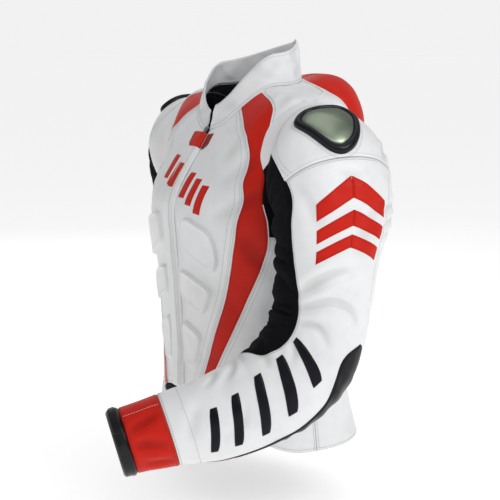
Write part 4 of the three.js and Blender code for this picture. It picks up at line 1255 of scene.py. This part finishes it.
class JACKET_OT_front_zip(bpy.types.Operator):
    """Builds the front zip, the storm flap over it and the throat patch"""

    bl_idname = "jacket.front_zip"
    bl_label = "Front zip and flap"

    def execute(self, context):
        v = np.linspace(0.003, ZIP_TOP, 300)
        for side in SIDES:
            x, vv = grid(np.array([0.8, 3.0, 5.8, 9.4]), v)
            cover(f"zip_tape_{side}", TORSO_SKIN, angle_at(x, vv), vv, -1.0, -2.0, ["tape"], "torso", "zip_teeth",
                  side)
            line = skin_line(TORSO_SKIN, angle_at(1.7 + 0 * v, v), v, -1.35, side)
            place, ahead, up = resampled(line, 2.6)
            shift = 0.65 if side == "left" else -0.65
            piece = studded(f"zip_teeth_{side}", place + ahead * shift, ahead, up, (1.5, 1.9, 0.9), "teeth",
                            "torso", "zip_teeth")
            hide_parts(f"zip_half_{side}")
        self.flap()
        self.patch()
        for name in ("zip_slider", "zip_pull"):
            dress(name, "zip")
        return {"FINISHED"}

    def rise(self, s):
        """Height of the flap's underside at a share s of its width, from its sewn edge to its free one."""
        fall = smooth(s, 0.87, 0.99)
        return smooth(s, 0, 0.16) * (1 - fall) * (FLAP_UNDER - 1.3) + 0.9 - 0.65 * fall

    def flap(self):
        """Storm flap: a band that rises off its sewn edge and lies over the zip, with rounded rims."""
        s = np.concatenate([[0, 0.012, 0.03, 0.055], np.linspace(0.085, 0.915, 24), [0.945, 0.97, 0.988, 1]])
        v = np.concatenate([[0.006, 0.0068, 0.0085, 0.011], np.linspace(0.014, 0.95, 210),
                            [0.9525, 0.954, FLAP_TOP]])
        x, vv = grid(mix(-FLAP_RIGHT, FLAP_LEFT, s), v)
        u = angle_at(x, vv)
        rise = self.rise(s)
        low = np.minimum(vv - v[0], v[-1] - vv) * 480
        rim = np.minimum(np.minimum(s, 1 - s)[None] * 30, low)
        waviness = 0.5 * waves(TORSO_SKIN.at(u, vv), 91, 60) * smooth(s, 0.2, 1.0)[None]
        top = TORSO_SKIN.at(u, vv, rise + FLAP_THICK + waviness - 1.1 * (1 - np.sqrt(smooth(rim, 0, 2.2))))
        bottom = TORSO_SKIN.at(u, vv, rise + waviness)
        marks = {"seam": rim + 1.1, "fold": 0.6 + 0 * rim}
        slab("zip_flap_leather", top, bottom, ("white", "white"), "torso", "white_leather", marks=marks,
             node="zip_flap")
        normal = TORSO_SKIN.normal(u, vv)
        for i in (5, -6, -8):
            sew("torso", "thread_white", (top[4:-4, i] + normal[4:-4, i] * 0.12, normal[4:-4, i]))

    def patch(self):
        """Throat patch: three red leather sections with rounded lower corners, the middle one on the flap."""
        v = np.linspace(PATCH_LOW, FLAP_TOP, 26)
        share = (v - v[0]) / (v[-1] - v[0])
        for name, x0, x1, lift, side, key in (
            ("left", FLAP_LEFT + 0.6, 31.0, 0.5, "left", "red_dark"),
            ("right", FLAP_RIGHT + 0.6, 31.0, 0.5, "right", "red_dark"),
            ("middle", -FLAP_RIGHT * 0.8, FLAP_LEFT - 0.1, FLAP_THICK, "left", "red"),
        ):
            s = np.linspace(0, 1, 40)
            outer = x1 - (8 * (1 - smooth(share, 0.0, 0.4)) ** 2 if name != "middle" else 0 * share)
            x = mix(x0, outer[:, None], s[None])
            vv = v[:, None] + 0 * s
            rim = np.minimum(np.minimum(s, 1 - s)[None] * 15, (np.minimum(share, 1 - share) * 38)[:, None])
            if name == "middle":
                lift = lift + self.rise((x + FLAP_RIGHT) / (FLAP_LEFT + FLAP_RIGHT))
            off = lift + 1.5 - 0.9 * (1 - smooth(rim, 0, 1.5))
            marks = {"seam": rim + 0.4, "fold": 0.6 + 0 * off}
            cover(f"throat_patch_leather_{name}", TORSO_SKIN, angle_at(x, vv), vv, off, lift - 0.4, (key, key),
                  "torso", "red_leather", side, marks=marks, node=f"throat_patch_{name}")


def dress(node, key):
    """Gives a kept node its finish."""
    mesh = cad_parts[node].data
    mesh.materials.clear()
    mesh.materials.append(look(key))


class JACKET_OT_sleeves(bpy.types.Operator):
    """Builds the sleeves: heads, outer leather and stretch panels"""

    bl_idname = "jacket.sleeves"
    bl_label = "Sleeves"

    def execute(self, context):
        for side in SIDES:
            skin = ARM_SKIN[side]
            self.head(side, skin)
            panel(f"sleeve_leather_{side}", skin, fixed(INNER_SEAM), lambda t: 360 + stretch_edge(t),
                  (HEAD_END, CUFF_START), LINED, "elbow_" + side, "white_leather", side, white_seams(*ALL_SEAMS),
                  (f"upper_sleeve_{side}", f"elbow_gusset_{side}", f"forearm_sleeve_{side}"))
            self.stretch(side, skin)
            t = np.linspace(1.1, 3.2, 150)
            back = spline([[0.7, 304], [1.7, 322], [2.5, 318], [3.4, 312]], t)[..., 0]
            sew("elbow_" + side, "thread_white", skin_line(skin, back, t, 0.12, side))
            around = np.linspace(0, 360, 260)
            sew("forearm_" + side, "thread_white", skin_line(skin, around, np.full(260, 6.2), 0.12, side))
        return {"FINISHED"}

    def opening(self, angle, side):
        """How far the stretch panel's pointed top reaches up into the head."""
        angle = np.mod(angle, 360)
        reach = {"left": 0.85, "right": 0.3}[side]
        return reach * smooth(angle, STRETCH_ANGLE, 79) * (1 - smooth(angle, 104, 146))

    def head(self, side, skin):
        """Sleeve head: a ring panel from under the armhole's edge to the upper sleeve, with stitched rings."""
        angle = np.concatenate([np.arange(0, 67, 2.6), np.arange(67.6, 96, 0.8), np.arange(97, 360, 2.6)])
        t = np.concatenate([np.linspace(HEAD_START, 0.9, 74), [0.925, 0.95, 0.965, 0.98, 0.99, 1.0]])
        share = (t - HEAD_START) / (HEAD_END - HEAD_START)
        cut = self.opening(angle, side)[None]
        under = smooth(cut, 0.0, 0.08)
        tt = HEAD_START + share[:, None] * (HEAD_END - cut + 0.05 * under - HEAD_START)
        aa = angle[None] + 0 * tt
        gap = (1 - share)[:, None] * 100 + 0 * tt
        off = -mm("seam_roll") * (1 - smooth(gap, 0, 2.6)) - 1.9 * under * (1 - smooth(gap, 2, 7))
        # seam and fold drive the leather's painted shade at the armhole seam and in the folds
        marks = {"seam": gap, "fold": skin.read(skin.relief, aa, tt)}
        piece = cover(f"sleeve_head_leather_{side}", skin, aa, tt, off, -mm("leather"), LINED, "shoulder_" + side,
                      "white_leather", side, True, marks, (f"sleeve_head_{side}", f"armhole_band_{side}"))
        if side == "left":
            self.blacken(piece, (aa > 79 + 45 * np.maximum(0.15 - tt, 0)) & (aa < 150))
        around = np.linspace(0, 2 * np.pi, 400)
        for size in (1.0, 1.07):
            a = 10 + 58 * size * np.cos(around)
            b = 0.66 + 0.60 * size * np.sin(around)
            keep = b < 0.97
            cut = np.flatnonzero(~keep)
            first = cut[-1] + 1 if len(cut) else 0
            run = np.roll(np.arange(400), -first)[: keep.sum()]
            sew("shoulder_" + side, "thread_white", skin_line(skin, a[run], b[run], 0.12, side))

    def blacken(self, piece, chosen):
        """Gives chosen faces of a closed slab's outer side the stretch fabric; they come first in the mesh."""
        piece.data.materials.append(look("knit"))
        kinds = np.zeros(len(piece.data.polygons), np.int32)
        piece.data.polygons.foreach_get("material_index", kinds)
        outer = kinds[: chosen[:-1].size]
        outer[chosen[:-1].ravel()] = len(piece.data.materials) - 1
        piece.data.polygons.foreach_set("material_index", kinds)

    def stretch(self, side, skin):
        """Stretch panel: the gathered black fabric from its pointed top to where it closes below the elbow."""
        s = np.concatenate([np.linspace(0, 0.12, 14), np.linspace(0.135, 1, 56)])
        r = np.linspace(0, 1, 350)
        first = HEAD_END - self.opening(mix(STRETCH_ANGLE, INNER_SEAM, s), side)
        t = mix(first[None], STRETCH_END, r[:, None])
        a = mix(stretch_edge(t), float(INNER_SEAM), s[None])
        gap = np.minimum(s, 1 - s)[None] * np.maximum(INNER_SEAM - stretch_edge(t), 1) * 1.15
        ends = np.minimum(r, 1 - r)[:, None] * 300
        near = np.minimum(gap, ends)
        off = -1.1 * (1 - smooth(near, 0, 2.6))
        cover(f"stretch_fabric_{side}", skin, a, t, off, -mm("leather"), ("knit", "lining"), "elbow_" + side,
              "stretch_fabric", side, marks={"seam": near}, node=f"stretch_panel_{side}")


class JACKET_OT_cuffs(bpy.types.Operator):
    """Builds the red cuff panels, the black wrist bands and their tabs"""

    bl_idname = "jacket.cuffs"
    bl_label = "Cuffs"

    def execute(self, context):
        for side in SIDES:
            skin, hold = ARM_SKIN[side], "forearm_" + side
            panel(f"cuff_leather_{side}", skin, fixed(INNER_SEAM), fixed(360 + INNER_SEAM),
                  (CUFF_START, BAND_START), ("red", "lining"), hold, "red_leather", side, {"low": "thread_red"},
                  f"cuff_panel_{side}")
            t = np.linspace(CUFF_START + 0.03, BAND_START - 0.03, 60)
            sew(hold, "thread_pale", skin_line(skin, np.full(60, 50.0), t, 0.25, side))
            self.band(side, skin, hold)
            self.tab(side, skin, hold)
        return {"FINISHED"}

    def band(self, side, skin, hold):
        """Wrist band: a rounded tube, thicker in its middle, its rim turned in at the opening."""
        angle = np.arange(0, 360, 2.5)
        t = np.linspace(BAND_START, SLEEVE_END, 26)
        share = np.linspace(0, 1, 26)
        rim = np.minimum(share * 22, (1 - share) * 22)
        off = -0.8 + 3.0 * np.sqrt(smooth(rim, 0, 4.5)) + 0.25 * np.sin(3 * np.pi * share)
        cover(f"wrist_band_{side}", skin, *grid(angle, t), off[:, None], -2.8, ("band", "lining"), hold,
              "black_band", side, True, node=f"cuff_band_{side}")

    def tab(self, side, skin, hold):
        """Overlapping end of the band: a tongue with a rounded end, lifted at its tip."""
        s, r = np.linspace(0, 1, 40), np.linspace(-1, 1, 17)
        half = 0.088 * (1 - np.clip((s - 0.72) / 0.28, 0, 1) ** 3 * 0.55)
        aa = mix(18.0, 84.0, s)[None] + 0 * r[:, None]
        tt = 7.275 + r[:, None] * half[None]
        lift = 2.2 + 1.0 * smooth(s, 0.5, 1.0)[None] + 0 * tt
        rim = np.minimum((1 - np.abs(r))[:, None] * 8, np.minimum(s, 1 - s)[None] * 70)
        off = lift + 1.9 - 1.2 * (1 - np.sqrt(smooth(rim, 0, 2.4)))
        cover(f"wrist_tab_leather_{side}", skin, aa, tt, off, lift - 0.6, ("band", "band"), hold, "black_band",
              side, node=f"wrist_tab_{side}")


class JACKET_OT_guards(bpy.types.Operator):
    """Builds the shoulder cups, their rubber bezels and the black elbow leaves"""

    bl_idname = "jacket.guards"
    bl_label = "Shoulder cups and elbow leaves"
    outline = [(38, 0.5), (26, 0.385), (6, 0.39), (-12, 0.405), (-20.5, 0.55), (-15, 0.74), (-5, 0.89),
               (6, 0.955), (17, 0.9), (30, 0.7)]
    middle = (7, 0.6)

    def ring(self, count):
        """The cup's outline: a closed smooth curve, as an offset from the cup's middle."""
        points = np.asarray(self.outline, float)
        many = np.concatenate([points, points, points])
        rows = np.concatenate([np.arange(len(many))[:, None], many], 1)
        x = np.linspace(len(points), 2 * len(points), count, endpoint=False)
        return spline(rows, x) - np.asarray(self.middle, float)

    def execute(self, context):
        turn = self.ring(120)
        for side in SIDES:
            skin, hold = ARM_SKIN[side], "upper_arm_" + side

            def place(size, off):
                a = self.middle[0] + turn[:, 0] * size
                b = self.middle[1] + turn[:, 1] * size
                return mirrored(skin.at(a, b, np.full(len(a), float(off))), side)

            bezel = [(1.03, -1.5), (1.03, 0.5), (1.02, 2.4), (0.995, 4.4), (0.955, 6.0), (0.905, 6.9),
                     (0.855, 6.9), (0.81, 6.2), (0.78, 5.0), (0.765, 3.6), (0.76, -1.5)]
            rows = np.stack([place(size, off) for size, off in bezel])
            table = np.arange(rows.size // 3).reshape(len(bezel), 120)
            rounded = np.concatenate([table, table[:1]])
            piece = build(f"bezel_{side}", rows, [strip(rounded, True)], ["bezel"], hold, "rubber_bezel")
            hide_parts(f"cup_bezel_{side}")
            plate = [(0.775, 0.0), (0.775, 3.4), (0.755, 4.4), (0.73, 4.9)]
            plate += [(x, 4.9 + 2.2 * (1 - (x / 0.73) ** 2)) for x in np.linspace(0.66, 0.06, 10)]
            rows = np.stack([place(size, off) for size, off in plate])
            table = np.arange(rows.size // 3).reshape(len(plate), 120)
            poles = np.stack([rows[0].mean(0), rows[-1].mean(0)])
            points = np.concatenate([rows.reshape(-1, 3), poles])
            last = len(points) - 1
            fans = np.concatenate([cap_fan(table[0][::-1], last - 1), cap_fan(table[-1], last)])
            piece = build(f"cup_plate_{side}", points, [strip(table, True), fans], ["plate"], hold, "cup_metal")
            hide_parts(f"shoulder_cup_{side}")
            size = 1.14
            closed = np.concatenate([turn, turn[:1]])
            sew(hold, "thread_white", skin_line(skin, self.middle[0] + closed[:, 0] * size,
                                                self.middle[1] + closed[:, 1] * size, 0.12, side))
            self.leaf(side, skin)
        return {"FINISHED"}

    def leaf(self, side, skin):
        """Elbow leaf: black leather between two curved edges, crowned, tapering to a tail down the forearm."""
        upper = [[LEAF_START, 318], [3.95, 333], [4.1, 334], [4.32, 320], [4.5, 304], [4.75, 291], [5.1, 283],
                 [5.5, 275], [LEAF_END, 265]]
        lower = [[LEAF_START, 313], [3.95, 300], [4.1, 280], [4.32, 254], [4.5, 242], [4.75, 240], [5.1, 256],
                 [5.5, 268], [LEAF_END, 262.5]]
        t = np.linspace(LEAF_START, LEAF_END, 190)
        s = np.concatenate([[0, 0.02, 0.05, 0.1], np.linspace(0.15, 0.85, 22), [0.9, 0.95, 0.98, 1]])
        a = mix(spline(lower, t)[..., 0][:, None], spline(upper, t)[..., 0][:, None], s[None])
        tt = t[:, None] + 0 * s
        wide = np.maximum((spline(upper, t) - spline(lower, t))[..., 0], 0.4) * 1.1
        ends = np.minimum(t - t[0], t[-1] - t)[:, None] * 75
        gap = np.minimum(np.minimum(s, 1 - s)[None] * wide[:, None], ends)
        off = -0.3 + 2.6 * np.sqrt(smooth(gap, 0, 3.5)) + 1.6 * smooth(gap, 3, 22)
        ribs = smooth(gap, 5, 9) * 0.8 * np.cos(2 * np.pi * (tt - 4.1) / 0.2) * smooth(tt, 4.0, 4.15)
        off = off + ribs * (1 - smooth(tt, 4.9, 5.05))
        cover(f"elbow_leaf_{side}", skin, a, tt, off, -1.0, ("black", "black"), "elbow_" + side, "black_leather",
              side, marks={"seam": gap + 0.2, "fold": 0.5 + ribs}, node=f"elbow_guard_{side}")


class JACKET_OT_cuff_zips(bpy.types.Operator):
    """Builds the zips at the back of the forearms"""

    bl_idname = "jacket.cuff_zips"
    bl_label = "Cuff zips"

    def execute(self, context):
        for side in SIDES:
            skin, hold = ARM_SKIN[side], "forearm_" + side
            t = np.linspace(ZIP_START, ZIP_END, 120)
            s = np.linspace(-10, 10, 15)
            off = 1.3 + 0.35 * np.cos(s / 10 * np.pi)[None]
            cover(f"cuff_zip_tape_{side}", skin, *grid(ZIP_ANGLE + s, t), off, off - 1.6, ["tape"], hold,
                  "zip_teeth", side)
            line = skin_line(skin, np.full(120, ZIP_ANGLE), t, 2.3, side)
            place, ahead, up = resampled(line, 1.6)
            across = np.cross(up, ahead)
            shift = np.where(np.arange(len(place)) % 2, 0.8, -0.8)[:, None]
            piece = studded(f"cuff_zip_teeth_{side}", place + across * shift, across, up, (2.6, 0.62, 0.75),
                            "teeth", hold, "zip_teeth")
            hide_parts(f"cuff_zip_{side}")
            for edge in (-8.2, 8.2):
                sew(hold, "thread_black", skin_line(skin, np.full(120, ZIP_ANGLE + edge), t, 1.5, side))
            dress(f"cuff_slider_{side}", "zip")
            dress(f"cuff_pull_{side}", "zip")
        return {"FINISHED"}


class JACKET_OT_marks(bpy.types.Operator):
    """Builds the plain coloured marks on the chest and sleeves: slanted bars and chevrons"""

    bl_idname = "jacket.marks"
    bl_label = "Plain marks"

    def bar(self, name, place, key, hold, slot, lift, thick, soft, side, skin):
        """A raised bar: place(s, r) gives its skin parameters, its rims fall over soft mm."""
        a, b = place(*grid(np.linspace(0, 1, 44), np.linspace(0, 1, 22)))
        base = skin.at(a, b)
        wide, tall = arc(base, 1), arc(base, 0)
        gap = np.minimum(np.minimum(wide, wide[:, -1:] - wide), np.minimum(tall, tall[-1:] - tall))
        off = lift + thick * np.sqrt(smooth(gap, 0, soft)) - 0.2
        marks = {"seam": gap + 0.9, "fold": 0.8 + 0 * gap}
        cover(name, skin, a, b, off, lift - 0.5, [key], hold, slot, side, marks=marks)

    def execute(self, context):
        for side in SIDES:
            skin = ARM_SKIN[side]
            for i, foot in enumerate((2.42, 2.04, 1.66)):
                for half, far in (("a", 38.0), ("b", -34.0)):
                    def place(s, r, foot=foot, far=far):
                        return mix(2.0, far, s), foot - 0.26 * (1 - s) - 0.24 * r + 0.03
                    self.bar(f"arm_chevron_{side}_{i + 1}_{half}", place, "red", "upper_arm_" + side,
                             "red_leather", 0.2, 0.9, 1.4, side, skin)
            spots = ((5.85, -14, 0.34), (5.47, -10, 0.36), (5.06, -6, 0.40), (4.66, 0, 0.36), (4.3, 8, 0.3))
            for i, (t0, a0, size) in enumerate(spots):
                def dash(s, r, t0=t0, a0=a0, size=size):
                    x, y = 2 * s - 1, 2 * r - 1
                    pull = np.sqrt(1 - 0.45 * x**4)
                    return a0 - 36 * x * size / 0.4, t0 + 0.075 * y * pull + 0.1 * x
                self.bar(f"forearm_dash_{side}_{i + 1}", dash, "mark_black", "elbow_" + side, "black_leather",
                         0.2, 1.9, 3.2, side, skin)
        for i, (x0, side) in enumerate(((44, "right"), (20, "right"), (-8, "flap"), (20, "left"), (43, "left"),
                                        (66, "left"))):
            sign = -1 if side == "right" else 1
            lift = FLAP_UNDER + FLAP_THICK - 0.4 if side == "flap" else 0.2

            def slant(s, r, x0=x0, sign=sign):
                drop = 0.0016 * (sign * x0 - 10)
                v = 0.672 + 0.105 * r - 0.6 * drop - 0.0006 * s
                lean = 6.0 * r * sign if side != "flap" else 4.0 * r - 2.0
                return angle_at(x0 + 16.0 * s + lean, v), v
            self.bar(f"chest_bar_{i + 1}", slant, "red", "torso", "red_leather", lift, 0.9, 1.3,
                     "left" if side == "flap" else side, TORSO_SKIN)
        return {"FINISHED"}


class JACKET_OT_stitching(bpy.types.Operator):
    """Sews every noted seam: one mesh of small stitches for each body and thread"""

    bl_idname = "jacket.stitching"
    bl_label = "Stitching"

    def execute(self, context):
        pitch, radius = mm("stitch_pitch"), mm("thread")
        for (hold, key), lines in SEWN.items():
            runs = [resampled(line, pitch) for line in lines]
            place, ahead, up = (np.concatenate([run[k] for run in runs]) for k in range(3))
            slot = {"thread_red": "red_leather", "thread_black": "black_leather"}.get(key, "white_leather")
            size = (pitch * 0.72, radius, radius * 0.8)
            studded(f"stitches_{hold}_{key.split('_')[1]}", place, ahead, up, size, key, hold, slot)
        return {"FINISHED"}


class JACKET_OT_stage(bpy.types.Operator):
    """Sets the pale floor, the soft studio lights and the camera"""

    bl_idname = "jacket.stage"
    bl_label = "Stage"

    def lamp(self, name, place, size, power):
        """A rectangular soft light aimed at the jacket's middle."""
        data = bpy.data.lights.new(name, "AREA")
        data.shape, data.size, data.size_y = "RECTANGLE", size[0], size[1]
        data.energy = power
        lamp = bpy.data.objects.new(name, data)
        bpy.context.scene.collection.objects.link(lamp)
        lamp.location = place
        lamp.rotation_euler = (Vector((0, 0, -0.3)) - Vector(place)).to_track_quat("-Z", "Y").to_euler()

    def execute(self, context):
        scene = context.scene
        scene.view_settings.view_transform = "Standard"
        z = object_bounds()[0].z - 0.002
        mesh = bpy.data.meshes.new("floor")
        reach = 40.0
        mesh.from_pydata([(-reach, -reach, z), (reach, -reach, z), (reach, reach, z), (-reach, reach, z)], [],
                         [(0, 1, 2, 3)])
        mesh.materials.append(plain_floor("studio_floor", (0.8, 0.8, 0.8)))
        floor = bpy.data.objects.new("floor", mesh)
        scene.collection.objects.link(floor)
        floor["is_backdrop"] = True
        world = bpy.data.worlds.new("studio")
        world.use_nodes = True
        shade = world.node_tree.nodes["Background"]
        shade.inputs["Color"].default_value = (1, 1, 1, 1)
        seen = world.node_tree.nodes.new("ShaderNodeLightPath")
        strength = world.node_tree.nodes.new("ShaderNodeMapRange")
        strength.inputs["To Min"].default_value = 0.42
        strength.inputs["To Max"].default_value = 0.885
        world.node_tree.links.new(seen.outputs["Is Camera Ray"], strength.inputs["Value"])
        world.node_tree.links.new(strength.outputs["Result"], shade.inputs["Strength"])
        scene.world = world
        key = scene.jacket_finish.key_light
        self.lamp("key", (2.2, 1.0, 1.3), (1.2, 1.6), key * 0.95)
        self.lamp("fill", (1.6, -2.6, 0.8), (2.4, 2.0), key * 0.15)
        self.lamp("side", (2.7, -0.6, 1.5), (1.4, 1.4), key * 0.3)
        self.lamp("top", (0.2, 0.2, 2.4), (2.2, 2.2), key * 0.42)
        self.lamp("far", (-2.6, 0.6, 0.8), (1.6, 1.6), key * 0.2)
        azimuth, elevation, distance = math.radians(63), math.radians(8), 2.3
        back = Vector((math.sin(azimuth) * math.cos(elevation), -math.cos(azimuth) * math.cos(elevation),
                       math.sin(elevation)))
        data = bpy.data.cameras.new("camera")
        data.lens, data.sensor_width = 110, 36
        data.clip_start, data.clip_end = 0.05, 200
        camera = bpy.data.objects.new("camera", data)
        scene.collection.objects.link(camera)
        camera.location = Vector((0, 0, -0.29)) + back * distance
        camera.rotation_euler = (-back).to_track_quat("-Z", "Y").to_euler()
        scene.camera = camera
        return {"FINISHED"}


STEPS = (
    JACKET_OT_front, JACKET_OT_stripes, JACKET_OT_back, JACKET_OT_collar, JACKET_OT_hump, JACKET_OT_chest_pads,
    JACKET_OT_front_zip, JACKET_OT_sleeves, JACKET_OT_cuffs, JACKET_OT_guards, JACKET_OT_cuff_zips,
    JACKET_OT_marks, JACKET_OT_stitching, JACKET_OT_stage,
)


class JACKET_PT_panel(bpy.types.Panel):
    """Lists the jacket's pieces, sizes and finishes in the sidebar"""

    bl_idname = "JACKET_PT_panel"
    bl_label = "Riding jacket"
    bl_space_type = "VIEW_3D"
    bl_region_type = "UI"
    bl_category = "Jacket"

    def draw(self, context):
        for step in STEPS:
            self.layout.operator(step.bl_idname)
        for group in (context.scene.jacket_sizes, context.scene.jacket_finish):
            for key in type(group).__annotations__:
                self.layout.prop(group, key)


CLASSES = (JacketSizes, JacketFinish, *STEPS, JACKET_PT_panel)


def register():
    for kind in CLASSES:
        bpy.utils.register_class(kind)
    bpy.types.Scene.jacket_sizes = PointerProperty(type=JacketSizes)
    bpy.types.Scene.jacket_finish = PointerProperty(type=JacketFinish)


def unregister():
    del bpy.types.Scene.jacket_finish
    del bpy.types.Scene.jacket_sizes
    for kind in reversed(CLASSES):
        bpy.utils.unregister_class(kind)


def main():
    """Builds the jacket piece by piece."""
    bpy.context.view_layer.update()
    register()
    for step in STEPS:
        group, name = step.bl_idname.split(".")
        getattr(getattr(bpy.ops, group), name)()


if __name__ == "__main__":
    main()
